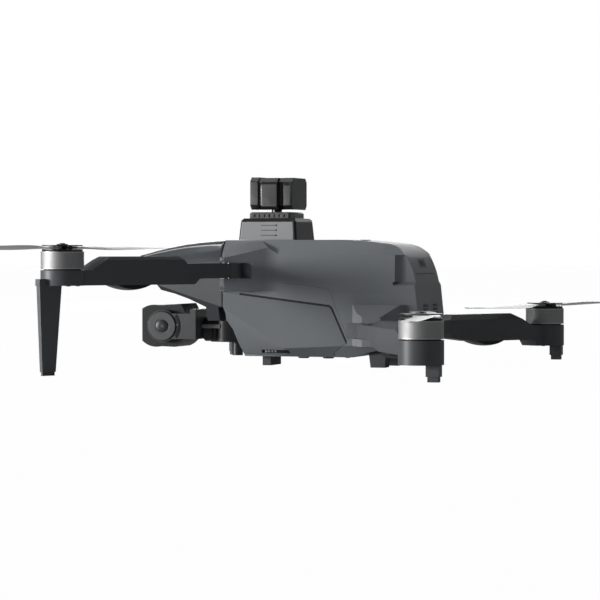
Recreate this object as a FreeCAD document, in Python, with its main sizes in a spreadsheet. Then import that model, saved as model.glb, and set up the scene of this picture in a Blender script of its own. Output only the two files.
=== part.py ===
"""Folding quadcopter with a stabilised nose camera and a ranging turret on its back.

Frame: +X is forward (nose), +Y is the left side, +Z is up.  The origin lies on the
ground under the middle of the four motors.  All sizes are millimetres.
"""
import FreeCAD, Part
import math
import os
import re

from FreeCAD import Placement, Rotation, Vector

# ---------------------------------------------------------------- driving sizes
SIZES = {
    # body shell
    "body_wall": 1.8,
    "body_half_width": 27.0,
    "crown_half_width": 20.5,
    "crown_z": 73.0,
    "wall_top_z": 65.0,
    "shell_split_z": 44.0,
    "belly_z": 6.5,
    "belly_half_width": 18.0,
    "tail_x": -67.0,
    "nose_x": 106.0,
    "nose_half_width": 19.0,
    "nose_top_z": 64.8,
    "chin_z": 45.3,
    "hood_start_x": 49.0,
    "hood_split_z": 58.0,
    "hood_seam": 0.4,
    "cheek_bottom_z": 26.6,
    "cheek_front_x": 60.0,
    "cheek_length": 8.4,
    "bow_x": 48.5,
    "keel_front_x": 38.4,
    # side panels
    "panel_thick": 1.4,
    "panel_gap": 0.35,
    "panel_rear_x": -15.0,
    "panel_rear_z": 34.6,
    "card_slot_rear_x": 9.6,
    "card_slot_length": 17.9,
    "card_slot_z": 8.4,
    "card_slot_height": 2.0,
    # arm hinges
    "front_pivot_x": 42.0,
    "rear_pivot_x": -40.0,
    "pivot_y": 33.0,
    "pin_radius": 1.6,
    "pin_clearance": 0.05,
    "knuckle_radius": 6.4,
    "knuckle_gap": 0.3,
    "front_slot_low_z": 51.0,
    "front_slot_high_z": 60.0,
    "rear_slot_low_z": 17.6,
    "rear_slot_high_z": 26.4,
    "shoulder_top_z": 72.4,
    "shoulder_eave_z": 62.7,
    "hinge_house_low_z": 13.4,
    "hinge_house_high_z": 36.6,
    "slot_clearance": 1.1,
    "shoulder_blend": 8.0,
    "pocket_x": -59.3,
    "pocket_bend": 6.8,
    "pocket_depth": 3.0,
    "pocket_low_z": 49.3,
    "pocket_sill": 2.1,
    # arms
    "front_arm_length": 116.5,
    "front_arm_sweep": 59.8,
    "rear_arm_length": 121.2,
    "rear_arm_sweep": 120.0,
    "arm_half_width": 6.6,
    "front_arm_low_z": 48.1,
    "front_arm_high_z": 63.7,
    "rear_arm_low_z": 12.8,
    "rear_arm_high_z": 29.0,
    "front_arm_chamfer": 1.8,
    "rear_arm_chamfer": 3.3,
    "front_slope_near": 15.0,
    "rear_slope_near": 18.0,
    "front_slope_far": 28.0,
    "rear_slope_far": 33.5,
    "arm_root_start": 17.0,
    "front_arm_step_low": 27.0,
    "front_arm_step_high": 36.0,
    "rear_arm_step_low": 34.0,
    "rear_arm_droop": 2.1,
    # motors
    "pod_radius": 11.8,
    "front_pod_low_z": 48.1,
    "front_pod_top_z": 56.4,
    "rear_pod_low_z": 8.8,
    "rear_pod_top_z": 21.4,
    "bell_radius": 11.6,
    "bell_lift": 0.6,
    "bell_height": 9.4,
    "bell_wall": 1.3,
    "magnet_gap": 0.5,
    "stator_height": 6.4,
    "motor_shaft_radius": 1.5,
    # propellers
    "prop_radius": 100.0,
    "hub_radius": 11.0,
    "hub_plate": 0.6,
    "hub_boss_height": 0.7,
    "hub_boss_radius": 2.6,
    "blade_pin_offset": 7.0,
    "blade_pin_radius": 1.2,
    "blade_root_radius": 4.0,
    "blade_root_thick": 1.4,
    "blade_play": 0.1,
    "blade_chord": 17.0,
    "blade_pitch": 9.0,
    "front_blade_rest_turn": 17.6,
    "rear_blade_rest_turn": -16.5,
    # legs
    "leg_offset": 8.75,
    "leg_top_length": 14.3,
    "leg_top_width": 3.2,
    "leg_foot_length": 8.7,
    "leg_foot_width": 2.4,
    "leg_foot_shift": 0.95,
    "leg_pad_height": 2.0,
    "leg_pad_inset": 0.4,
    "rear_leg_length": 7.2,
    "rear_leg_width": 5.6,
    "rear_leg_step_z": 2.8,
    # arm lamps
    "lamp_half_length": 12.7,
    "lamp_depth": 3.0,
    "front_lamp_at": 72.4,
    "rear_lamp_at": 67.8,
    # battery
    "battery_front_x": 2.0,
    "battery_half_width": 19.6,
    "battery_floor_z": 54.0,
    "battery_gap": 0.35,
    "battery_wall": 1.5,
    "battery_lid_thick": 6.5,
    "latch_half_width": 7.0,
    "latch_height": 4.6,
    "latch_stroke": 1.2,
    "power_button_x": -28.0,
    "power_button_radius": 4.2,
    "power_button_thick": 2.2,
    "power_button_stroke": 0.8,
    # gimbal
    "yaw_axis_x": 55.0,
    "yaw_arm_radius": 8.0,
    "gimbal_axis_z": 23.1,
    "pitch_axis_x": 90.1,
    "roll_motor_radius": 7.0,
    "roll_motor_length": 6.0,
    "yoke_half_width": 16.4,
    "yoke_thick": 3.6,
    "pitch_disc_radius": 9.4,
    "camera_length": 28.6,
    "camera_half_width": 12.2,
    "camera_top": 12.9,
    "camera_bottom": 12.2,
    "lens_length": 4.2,
    "lens_radius": 7.0,
    "gimbal_gap": 0.4,
    "gimbal_plate_thick": 1.6,
    "damper_radius": 2.2,
    "damper_height": 3.2,
    # turret
    "turret_x": 25.4,
    "turret_base_length": 35.1,
    "turret_base_half_width": 17.5,
    "turret_base_high_z": 85.3,
    "turret_taper": 0.9,
    "turret_base_corner": 1.0,
    "turret_lid_thick": 2.0,
    "turret_plate_thick": 0.8,
    "turret_ring_half": 12.55,
    "turret_ring_bevel": 0.8,
    "turret_ring_height": 3.6,
    "turret_neck_radius": 3.0,
    "turret_head_low_z": 90.3,
    "turret_head_high_z": 108.9,
    "turret_head_half_length": 12.75,
    "turret_head_half_width": 13.0,
    "turret_head_shift": 1.05,
    "turret_eye_radius": 4.6,
    # underside
    "foot_height": 5.6,
    "board_thick": 1.6,
    "board_length": 52.0,
    "board_half_width": 15.0,
    "board_rear_x": -24.0,
    "board_lift": 3.0,
    "board_can_length": 14.0,
    "board_can_height": 2.9,
    "belly_window_half": 9.0,
    "belly_window_rear_x": -12.0,
    "belly_window_length": 28.0,
}

doc = FreeCAD.newDocument("quadcopter")
sheet = doc.addObject("Spreadsheet::Sheet", "Sizes")
for row, (alias, value) in enumerate(SIZES.items(), start=1):
    sheet.set("A%d" % row, alias)
    sheet.set("B%d" % row, str(value))
    sheet.setAlias("B%d" % row, alias)
doc.recompute()


class Size:
    """The driving sizes, read back from the sheet by name."""

    def __getattr__(self, alias):
        return float(sheet.get(alias))


size = Size()
nodes = []


# ---------------------------------------------------------------- small helpers
def bound(expression):
    """Point every size name in an expression at its cell in the sheet."""
    def cell(match):
        word = match.group()
        return "Sizes." + word if word in SIZES else word
    return re.sub(r"[a-z][a-z_]+", cell, str(expression))


def bind(obj, **properties):
    """Bind properties of an object to expressions over the driving sizes."""
    for name, expression in properties.items():
        obj.setExpression(name.replace("__", "."), bound(expression))
    return obj


def place(obj, x="0", y="0", z="0"):
    """Bind an object's position."""
    return bind(obj, Placement__Base__x=x, Placement__Base__y=y, Placement__Base__z=z)


def cylinder(name, radius, height, x="0", y="0", z="0", along="Z"):
    """A round bar that starts at (x, y, z) and runs along a positive axis."""
    obj = doc.addObject("Part::Cylinder", name)
    turn = {"Z": Rotation(), "X": Rotation(Vector(0, 1, 0), 90), "Y": Rotation(Vector(1, 0, 0), -90)}
    obj.Placement = Placement(Vector(), turn[along])
    bind(obj, Radius=radius, Height=height)
    return place(obj, x, y, z)


def box(name, length, width, height, x="0", y="0", z="0"):
    """A block with its lowest corner at (x, y, z)."""
    obj = doc.addObject("Part::Box", name)
    bind(obj, Length=length, Width=width, Height=height)
    return place(obj, x, y, z)


def fuse(name, *parts):
    obj = doc.addObject("Part::MultiFuse", name)
    obj.Shapes = list(parts)
    return obj


def cut(name, base, *tools):
    """The base less every tool."""
    obj = doc.addObject("Part::Cut", name)
    obj.Base = base
    obj.Tool = tools[0] if len(tools) == 1 else fuse(name + "_tools", *tools)
    return obj


def feature(name, shape):
    """A solid made with Part's own functions from the driving sizes."""
    obj = doc.addObject("Part::Feature", name)
    obj.Shape = shape
    return obj


def mirrored(name, source):
    """The same piece on the right-hand side."""
    obj = doc.addObject("Part::Mirroring", name)
    obj.Source = source
    obj.Base = Vector(0, 0, 0)
    obj.Normal = Vector(0, 1, 0)
    return obj


def both_sides(name, source):
    return fuse(name, source, mirrored(name + "_right", source))


def node(obj, label):
    """Name a finished sub-part; the label names its file."""
    obj.Label = label
    nodes.append(obj)
    return obj


def prism(points, start, depth):
    """A closed outline of 3-D points, swept along the vector depth from start."""
    outline = [Vector(*p) + start for p in points]
    return Part.Face(Part.makePolygon(outline + outline[:1])).extrude(depth)


def side_prism(points, y_from, y_to):
    """An outline of (x, z) points swept across the body."""
    corners = [(x, 0, z) for x, z in points]
    return prism(corners, Vector(0, y_from, 0), Vector(0, y_to - y_from, 0))


def plan_prism(points, z_from, z_to):
    """An outline of (x, y) points swept upwards."""
    corners = [(x, y, 0) for x, y in points]
    return prism(corners, Vector(0, 0, z_from), Vector(0, 0, z_to - z_from))


def tapered_block(low_plan, high_plan, low_z, high_z):
    """A straight loft between two (x, y) outlines."""
    wires = []
    for plan, z in ((low_plan, low_z), (high_plan, high_z)):
        ring = [Vector(x, y, z) for x, y in plan]
        wires.append(Part.makePolygon(ring + ring[:1]))
    return Part.makeLoft(wires, True, True)


def through(a, b, c):
    return Part.Arc(Vector(a[0], 0, a[1]), Vector(b[0], 0, b[1]), Vector(c[0], 0, c[1])).toShape()


def straight(*points):
    corners = [Vector(x, 0, z) for x, z in points]
    return [Part.makeLine(a, b) for a, b in zip(corners, corners[1:])]


# ---------------------------------------------------------------- body outline
def side_outline():
    """The body seen from its side: a long crown, a drooping hood, a raked tail."""
    s = size
    nose = (s.nose_x, s.chin_z + 7)
    brow = (s.nose_x, s.nose_top_z - 4)
    hood = (s.nose_x - 4, s.nose_top_z)
    hood_start = (s.hood_start_x, s.crown_z - 0.2)
    crown_rear = (s.tail_x + 47, s.crown_z)
    tail_crown = (s.tail_x + 20.1, s.crown_z - 2.2)
    tail_brow = (s.tail_x + 6.8, s.crown_z - 10)
    tail_shoulder = (s.tail_x + 1.6, s.crown_z - 26.8)
    tail_heel = (s.tail_x, s.belly_z + 13.5)
    cheek_rear_x = s.cheek_front_x - s.cheek_length
    middle = ((hood[0] + hood_start[0]) / 2, (hood[1] + hood_start[1]) / 2 + 1.8)
    edges = straight(nose, brow)
    edges.append(through(brow, (s.nose_x - 1.2, s.nose_top_z - 1.3), hood))
    edges.append(through(hood, middle, hood_start))
    edges += straight(hood_start, crown_rear)
    edges.append(through(crown_rear, (s.tail_x + 34, s.crown_z - 0.7), tail_crown))
    edges.append(through(tail_crown, (s.tail_x + 12.3, s.crown_z - 4.6), tail_brow))
    edges.append(through(tail_brow, (s.tail_x + 3.7, s.crown_z - 17.3), tail_shoulder))
    edges += straight(
        tail_shoulder, (s.tail_x, s.crown_z - 42.3), tail_heel,
        (s.tail_x + 8, s.belly_z + 7.5), (s.rear_pivot_x + 2, s.belly_z + 3.4),
        (s.rear_pivot_x + 14, s.belly_z), (s.keel_front_x, s.belly_z),
        (s.bow_x - 7, s.belly_z + 8.1), (s.bow_x - 4.8, s.belly_z + 15.2),
        (s.bow_x - 1.2, s.cheek_bottom_z + 0.8), (s.bow_x - 1.2, s.cheek_bottom_z + 4.7),
        (s.bow_x, s.cheek_bottom_z + 8), (cheek_rear_x, s.cheek_bottom_z + 8),
        (cheek_rear_x, s.cheek_bottom_z), (s.cheek_front_x, s.cheek_bottom_z),
        (s.cheek_front_x, s.chin_z - 10.8), (s.nose_x - 35.3, s.chin_z - 6.3),
        (s.nose_x - 26, s.chin_z - 3.3), (s.nose_x - 16.6, s.chin_z - 1.2),
        (s.nose_x - 14, s.chin_z + 2.4), (s.nose_x - 5, s.chin_z + 2.8), nose)
    return Part.Face(Part.Wire(Part.__sortEdges__(edges)))


def body_sections(inset):
    """Cross-sections from tail to nose: flat sides, chamfered crown and keel."""
    s = size
    keel, side, crown = s.belly_half_width, s.body_half_width, s.crown_half_width
    nose, nose_low = s.nose_half_width, s.chin_z + 6
    # x, then half-width and height of the keel, the low and high edges of the wall, and the crown
    rows = [
        (s.tail_x - 4, keel, s.belly_z + 3, side, s.belly_z + 10, side, s.wall_top_z - 2,
         crown - 3.5, s.crown_z),
        (s.tail_x + 20, keel, s.belly_z, side, s.belly_z + 8, side, s.wall_top_z - 0.8, crown, s.crown_z),
        (s.keel_front_x - 26, keel, s.belly_z, side, s.belly_z + 5, side, s.wall_top_z, crown, s.crown_z),
        (s.hood_start_x, keel, s.belly_z, side, s.cheek_bottom_z + 8, side, s.wall_top_z, crown, s.crown_z),
        (s.nose_x, nose - 8, s.chin_z - 1, nose, nose_low, nose, s.nose_top_z - 7,
         nose - 8, s.nose_top_z + 4),
    ]
    wires = []
    for x, keel_y, keel_z, low, low_z, high, high_z, crown_y, crown_z in rows:
        half = [(keel_y - inset, keel_z + inset), (low - inset, low_z + inset / 2),
                (high - inset, high_z - inset / 2), (crown_y - inset, crown_z - inset)]
        ring = [Vector(x, y, z) for y, z in half] + [Vector(x, -y, z) for y, z in reversed(half)]
        wires.append(Part.makePolygon(ring + ring[:1]))
    return Part.makeLoft(wires, True, True)


def body_hull(inset):
    """The body's outer form, or the same form drawn in by a wall."""
    face = side_outline()
    if inset > 0:
        face = face.makeOffset2D(-inset, fill=False, join=0)
        face = Part.Face(face.Wires[0]) if face.ShapeType != "Face" else face
    wide = 2 * size.body_half_width
    prism_shape = face.extrude(Vector(0, 2 * wide, 0))
    prism_shape.translate(Vector(0, -wide, 0))
    return prism_shape.common(body_sections(inset)).removeSplitter()


def slab(x_from, x_to, z_from, z_to, half=None, y_from=None):
    """A block by its limits; it spans the whole width unless a half-width is given."""
    half = half if half is not None else 2 * size.body_half_width
    y_low = y_from if y_from is not None else -half
    return Part.makeBox(x_to - x_from, half - y_low, z_to - z_from, Vector(x_from, y_low, z_from))


def round_bar(radius, z_from, z_to, x, y):
    return Part.makeCylinder(radius, z_to - z_from, Vector(x, y, z_from))


def on_both_sides(shape):
    return shape.fuse(shape.mirror(Vector(0, 0, 0), Vector(0, 1, 0)))


def refined(shape):
    """The shape with its split faces merged, where that leaves it sound."""
    merged = shape.removeSplitter()
    return merged if merged.isValid() else shape


outer = body_hull(0)
inner = body_hull(size.body_wall)
FAR = 400.0


# ---------------------------------------------------------------- body pieces
def front_shoulder():
    """Left fender round the front hinge: an eye for the pin above and below a slot."""
    s = size
    x, y, top = s.front_pivot_x, s.pivot_y, s.shoulder_top_z
    side = s.body_half_width
    outer_y = y + 5.5
    slope, blend = (outer_y - side) / 25, s.shoulder_blend
    start = x - 23 - blend / 2
    bend = [(start + blend * step / 8, side + slope * blend / 2 * (step / 8) ** 2) for step in range(9)]
    plan = [(start, side - 8)] + bend + [(x + 2, outer_y), (x + 5.2, side + 0.5), (x + 8.5, side),
                                         (x + 8.5, side - 8)]
    block = plan_prism(plan, s.shell_split_z, top)
    ridge_y = s.crown_half_width + 0.5
    roof = prism([(x - 30, ridge_y, top), (x - 30, outer_y, s.shoulder_eave_z),
                  (x - 30, FAR, s.shoulder_eave_z), (x - 30, FAR, FAR), (x - 30, ridge_y, FAR)],
                 Vector(), Vector(60, 0, 0))
    brow = side_prism([(x - 29, s.wall_top_z - 1.5), (x - 15.4, top - 0.2), (x - 8.8, top - 0.8), (x - 2.1, top - 2.1),
                       (x + 1, top - 3.5), (x + 3.7, top - 6.2), (x + 5.3, top - 9.1), (x + 9, top - 17),
                       (x + 9, FAR), (x - 29, FAR)], 0, FAR)
    return block.cut(roof).cut(brow)


def arm_slot(x, low_z, high_z, turned_from, turned_to):
    """The room that an arm's knuckle and root need between two headings."""
    s = size
    reach = s.knuckle_radius + s.slot_clearance
    room = round_bar(reach, low_z, high_z, x, s.pivot_y)
    steps = 6
    for step in range(steps + 1):
        heading = turned_from + (turned_to - turned_from) * step / steps
        strip = Part.makeBox(60, 2 * reach, high_z - low_z, Vector(0, -reach, low_z))
        strip.rotate(Vector(), Vector(0, 0, 1), heading)
        strip.translate(Vector(x, s.pivot_y, 0))
        room = room.fuse(strip)
    outside = Part.makeBox(FAR, FAR, FAR, Vector(x - FAR / 2, s.body_half_width - 3, 0))
    return room.common(outside)


def pin_hole(x, low_z, high_z):
    return round_bar(size.pin_radius + size.pin_clearance, low_z, high_z, x, size.pivot_y)


def rear_hinge_house():
    """Left rear hinge housing: a faceted bulge on the lower shell round the rear pin."""
    s = size
    x, y = s.rear_pivot_x, s.pivot_y
    side = s.body_half_width - 2
    out = y + s.knuckle_radius - 0.4
    plan = [(x + 11, side), (x + 10.6, side + 4), (x + 6, out - 3), (x + 2, out), (x - 9, out),
            (x - 17.7, side + 5), (x - 19.9, side)]
    block = plan_prism(plan, s.hinge_house_low_z, s.hinge_house_high_z)
    eave_z = s.rear_slot_high_z + 3.6
    roof = prism([(x - 30, side + 5, s.hinge_house_high_z), (x - 30, out, eave_z), (x - 30, FAR, eave_z),
                  (x - 30, FAR, FAR), (x - 30, side + 5, FAR)], Vector(), Vector(60, 0, 0))
    house = block.cut(roof).cut(outer)
    slot = arm_slot(x, s.rear_slot_low_z, s.rear_slot_high_z, s.rear_arm_sweep, 6)
    hole = pin_hole(x, s.hinge_house_low_z + 1.2, s.rear_slot_high_z + 3)
    return house.cut(slot).cut(hole).removeSplitter()


def battery_block(grow):
    """The battery's outer form: the rear of the crown down to its floor."""
    s = size
    block = slab(s.tail_x - 10, s.battery_front_x + grow, s.battery_floor_z - grow, FAR,
                 s.battery_half_width + grow)
    return block


def tail_pocket():
    """Left hollow in the rear corner: a curved front wall, a flat floor and a bevelled sill."""
    s = size
    floor_y, low_z, high_z = s.body_half_width - s.pocket_depth, s.pocket_low_z, s.wall_top_z - 0.6
    bend = round_bar(s.pocket_bend, low_z, high_z, s.pocket_x, floor_y + s.pocket_bend)
    flat = Part.makeBox(FAR, FAR, high_z - low_z, Vector(s.pocket_x - FAR, floor_y, low_z))
    sill = prism([(s.pocket_x + s.pocket_bend, floor_y, low_z),
                  (s.pocket_x + s.pocket_bend, s.body_half_width + 0.3, low_z - s.pocket_sill),
                  (s.pocket_x + s.pocket_bend, s.body_half_width + 0.3, low_z)], Vector(), Vector(-FAR, 0, 0))
    return on_both_sides(bend.fuse([flat, sill]))


def upper_shell():
    s = size
    body = outer.common(slab(s.tail_x - 10, s.hood_start_x, s.shell_split_z, FAR))
    body = body.fuse(on_both_sides(front_shoulder()))
    body = body.cut(inner)
    slot = arm_slot(s.front_pivot_x, s.front_slot_low_z, s.front_slot_high_z, s.front_arm_sweep, 150)
    body = body.cut(on_both_sides(slot))
    hole = pin_hole(s.front_pivot_x, s.shell_split_z + 1.4, s.front_slot_high_z + 3.4)
    body = body.cut(on_both_sides(hole)).cut(battery_block(s.battery_gap)).cut(tail_pocket())
    back = slab(s.tail_x + 4, s.tail_x + 16, s.shell_split_z + 3, s.wall_top_z - 1,
                s.body_half_width, s.battery_half_width + s.battery_gap)
    liner = back.common(outer).cut(tail_pocket())
    return refined(body.fuse(on_both_sides(liner)))


def lower_shell():
    s = size
    body = outer.common(slab(s.tail_x - 10, s.hood_start_x, -5, s.shell_split_z)).cut(inner)
    slot = arm_slot(s.rear_pivot_x, s.rear_slot_low_z, s.rear_slot_high_z, s.rear_arm_sweep, 6)
    body = body.cut(on_both_sides(slot)).cut(on_both_sides(panel_room(s.panel_gap)))
    body = body.cut(battery_block(s.battery_gap))
    body = body.cut(slab(s.bow_x - 1, s.hood_start_x + 1, -5, s.cheek_bottom_z + 12, 14))
    window = slab(s.belly_window_rear_x, s.belly_window_rear_x + s.belly_window_length,
                  s.belly_z - 1, s.belly_z + s.body_wall + 1, s.belly_window_half)
    return body.cut(card_slot()).cut(window).removeSplitter()


def card_slot():
    """The memory card's slot, low in the left side."""
    s = size
    return slab(s.card_slot_rear_x, s.card_slot_rear_x + s.card_slot_length, s.card_slot_z,
                s.card_slot_z + s.card_slot_height, FAR, s.belly_half_width - 2)


def panel_outline(grow):
    s = size
    top = s.shell_split_z - 0.6 + grow
    return [(s.bow_x + grow, top), (s.panel_rear_x, s.panel_rear_z + 0.9 + grow),
            (s.panel_rear_x - 1.4 - grow, s.panel_rear_z - 0.3),
            (s.rear_pivot_x + 14.7 - grow, s.belly_z + 8.3), (s.rear_pivot_x + 23.6 - grow, s.belly_z + 2.6),
            (s.rear_pivot_x + 25, s.belly_z - 4), (s.keel_front_x + grow, s.belly_z - 4),
            (s.bow_x - 1 + grow, s.cheek_bottom_z + 1), (s.bow_x + grow, s.cheek_bottom_z + 7.6)]


def panel_room(grow):
    """The skin layer, on the left side, that a side panel lies in."""
    s = size
    skin = outer.cut(body_sections(s.panel_thick + grow / 2))
    return skin.common(side_prism(panel_outline(grow), s.belly_half_width + 0.6 - grow, FAR))


def side_panel():
    return panel_room(0).cut(card_slot()).removeSplitter()


def nose_cover():
    """The glossy hood between the front shoulders."""
    s = size
    start = s.hood_start_x + s.hood_seam
    hood = outer.common(slab(start, s.nose_x + 5, s.hood_split_z, FAR))
    return hood.cut(inner).cut(on_both_sides(front_shoulder())).removeSplitter()


def nose_frame():
    """Chin, cheeks and front wall, with a deck inside that the gimbal hangs from."""
    s = size
    start = s.hood_start_x + s.hood_seam
    deck_z = s.cheek_bottom_z + 12
    room_end = s.cheek_front_x + 6
    frame = outer.common(slab(start, s.nose_x + 5, -5, s.hood_split_z - s.hood_seam)).cut(inner)
    deck = outer.common(slab(start, room_end + 2, deck_z, deck_z + s.body_wall))
    frame = frame.fuse(deck).cut(on_both_sides(front_shoulder()))
    frame = frame.cut(slab(start - 1, room_end, -5, deck_z, 14))
    return frame.cut(nose_eye_room(s.gimbal_gap / 4)).removeSplitter()


def nose_eye_room(grow):
    """The two round forward sensors in the nose's front wall."""
    s = size
    z = s.chin_z + 8.5
    bar = Part.makeCylinder(3.6 + grow, 6, Vector(s.nose_x - 5, 9.5, z), Vector(1, 0, 0))
    return on_both_sides(bar)


def nose_sensors():
    s = size
    keep = slab(s.nose_x - 4, s.nose_x - 0.5, 0, FAR)
    return nose_eye_room(0).common(keep)


node(feature("UpperShell", upper_shell()), "upper_shell")
node(feature("LowerShell", lower_shell()), "lower_shell")
node(feature("RearHingeHousings", on_both_sides(rear_hinge_house())), "rear_hinge_housings")
left_panel = node(feature("LeftPanel", side_panel()), "left_side_panel")
node(mirrored("RightPanel", left_panel), "right_side_panel")
node(feature("NoseCover", nose_cover()), "nose_cover")
node(feature("NoseFrame", nose_frame()), "nose_frame")
node(feature("NoseSensors", nose_sensors()), "nose_sensors")


# ---------------------------------------------------------------- inside the body
def main_board():
    """Flight controller board on the lower shell's floor, with its shield cans."""
    floor = "(belly_z + body_wall)"
    top = floor + " + board_lift + board_thick"
    parts = [box("BoardPlate", "board_length", "2 * board_half_width", "board_thick",
                 "board_rear_x", "-board_half_width", floor + " + board_lift")]
    ends = {"Rear": "board_rear_x + 4", "Front": "board_rear_x + board_length - 4"}
    for end, x in ends.items():
        for side, sign in (("Left", ""), ("Right", "-")):
            y = sign + "(board_half_width - 3)"
            parts.append(cylinder("BoardPost" + end + side, 2, "board_lift", x, y, floor))
    for name, x in (("PowerCan", "board_rear_x + 4"), ("RadioCan", "board_rear_x + 28")):
        parts.append(box(name, "board_can_length", "2 * belly_window_half", "board_can_height",
                         x, "-belly_window_half", top))
    return fuse("MainBoard", *parts)


def belly_sensor():
    """Downward camera and ranging window, let into the floor."""
    gap = "gimbal_gap / 2"
    plate = box("SensorPlate", "belly_window_length - gimbal_gap", "2 * belly_window_half - gimbal_gap",
                "body_wall + 0.4", "belly_window_rear_x + " + gap, "-belly_window_half + " + gap, "belly_z - 0.4")
    rims = [cylinder("SensorRim%d" % number, 3.2, 0.8, "belly_window_rear_x + %d" % along, 0, "belly_z - 1.2")
            for number, along in enumerate((6, 21), start=1)]
    return fuse("BellySensor", plate, *rims)


def belly_feet():
    """Two rear blocks and one front bar moulded in rubber, pushed into the floor."""
    s = size
    low_z = s.belly_z - s.foot_height
    x = s.rear_pivot_x - 0.7
    low = [(x - 4.2, -4.2), (x + 4.2, -4.2), (x + 4.2, 4.2), (x - 4.2, 4.2)]
    high = [(x - 5.7, -5), (x + 5.7, -5), (x + 5.7, 5), (x - 5.7, 5)]
    feet = []
    for y in (13, -13):
        block = tapered_block(low, high, low_z, s.belly_z + 8)
        block.translate(Vector(0, y, 0))
        feet.append(block.cut(outer))
    bar = slab(26, 31, low_z, s.belly_z, 9)
    return Part.makeCompound(feet + [bar])


def battery_case():
    """Slide-out battery: the rear of the crown is its own top and end cap."""
    s = size
    block = outer.common(battery_block(0))
    hollow = slab(s.tail_x + 14, s.battery_front_x - s.battery_wall, s.battery_floor_z + s.battery_wall,
                  s.crown_z - s.battery_lid_thick, s.battery_half_width - s.battery_wall)
    gap = s.gimbal_gap / 2
    deep = s.power_button_thick + s.power_button_stroke + gap
    button = round_bar(s.power_button_radius + gap, s.crown_z - deep, FAR, s.power_button_x, 0)
    return block.cut(hollow).cut(latch_room(gap, s.latch_stroke + gap)).cut(button).removeSplitter()


def battery_cells():
    """Two flat pouch cells, stacked inside the case."""
    play = "0.3"
    low = "(battery_floor_z + battery_wall)"
    room = "(crown_z - battery_lid_thick - battery_floor_z - battery_wall)"
    half = "(battery_half_width - battery_wall - %s)" % play
    length = "battery_front_x - battery_wall - tail_x - 14 - 2 * " + play
    cells = [box("Cell%d" % number, length, "2 * " + half, room + " / 2 - " + play,
                 "tail_x + 14 + " + play, "-" + half, "%s + %s * %s + 0.5 * %s" % (low, share, room, play))
             for number, share in enumerate(("0", "0.5"), start=1)]
    pair = doc.addObject("Part::Compound", "BatteryCells")
    pair.Links = cells
    return pair


def latch_room(grow, deeper):
    """The place of the battery's release tab, let into the raked end cap."""
    s = size
    z = s.battery_floor_z + 3.4
    return slab(s.tail_x, s.tail_x + 11.4 + deeper, z - grow, z + s.latch_height + grow,
                s.latch_half_width + grow)


def battery_latch():
    return outer.common(latch_room(0, 0))


def power_button():
    """Round button let into the crown over the battery."""
    s = size
    low = s.crown_z - s.power_button_thick
    return outer.common(round_bar(s.power_button_radius, low, FAR, s.power_button_x, 0))


node(main_board(), "main_board")
node(belly_sensor(), "belly_sensor")
node(feature("BellyFeet", belly_feet()), "belly_feet")
node(feature("BatteryCase", battery_case()), "battery_case")
node(battery_cells(), "battery_cells")
node(feature("BatteryLatch", battery_latch()), "battery_latch")
node(feature("PowerButton", power_button()), "power_button")


# ---------------------------------------------------------------- hinge pins and screws
def hinge_pin(name, x, low_z, high_z):
    shank = cylinder(name, "pin_radius", "(%s) - (%s)" % (high_z, low_z), x, "pivot_y", low_z)
    return both_sides(name + "Pair", shank)


front_pins = hinge_pin("FrontPin", "front_pivot_x", "shell_split_z + 1.5", "front_slot_high_z + 3.3")
rear_pins = hinge_pin("RearPin", "rear_pivot_x", "hinge_house_low_z + 1.3", "rear_slot_high_z + 2.9")
node(fuse("HingePins", front_pins, rear_pins), "hinge_pins")


# ---------------------------------------------------------------- arms
def arm_solid(corner):
    """An arm along +X from its hinge axis: knuckle, boom with chamfered top, motor pod."""
    s = size
    get = lambda name: getattr(s, "%s_%s" % (corner, name))
    half = s.arm_half_width
    length, low_z, high_z = get("arm_length"), get("arm_low_z"), get("arm_high_z")
    pod_low_z, pod_top_z = get("pod_low_z"), get("pod_top_z")
    root_low = get("slot_low_z") + s.knuckle_gap
    root_high = get("slot_high_z") - s.knuckle_gap
    knuckle = round_bar(s.knuckle_radius, root_low, root_high, 0, 0)
    start, step_low = s.arm_root_start, get("arm_step_low")
    root = Part.makeBox(step_low + 1, 2 * s.knuckle_radius - 2, root_high - root_low,
                        Vector(0, 1 - s.knuckle_radius, root_low))
    root_edges = [(start, root_high), (start, root_low), (step_low, root_low)]
    if corner == "front":
        root_edges += [(step_low + 3.8, low_z)]
        step_high = s.front_arm_step_high
    else:
        root_edges += [(step_low + 2, low_z + s.rear_arm_droop), (step_low + 20, low_z)]
        step_high = step_low
    profile = root_edges + [(length - 16, low_z), (length - 13, pod_low_z), (length, pod_low_z),
                            (length, pod_top_z), (length - get("slope_near"), pod_top_z),
                            (length - get("slope_far"), high_z), (step_high + 4.6, high_z),
                            (step_high, root_high)]
    boom = side_prism(profile, -half, half)
    c = get("arm_chamfer")
    tube = [(-half, pod_low_z), (half, pod_low_z), (half, high_z - c), (half - c, high_z), (c - half, high_z),
            (-half, high_z - c)]
    section = prism([(0, y, z) for y, z in tube], Vector(), Vector(length, 0, 0))
    pod = round_bar(s.pod_radius, pod_low_z, pod_top_z, length, 0)
    arm = knuckle.fuse([root, boom.common(section), pod])
    return arm.cut(round_bar(s.pin_radius + s.pin_clearance, 0, FAR, 0, 0)).removeSplitter()


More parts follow.
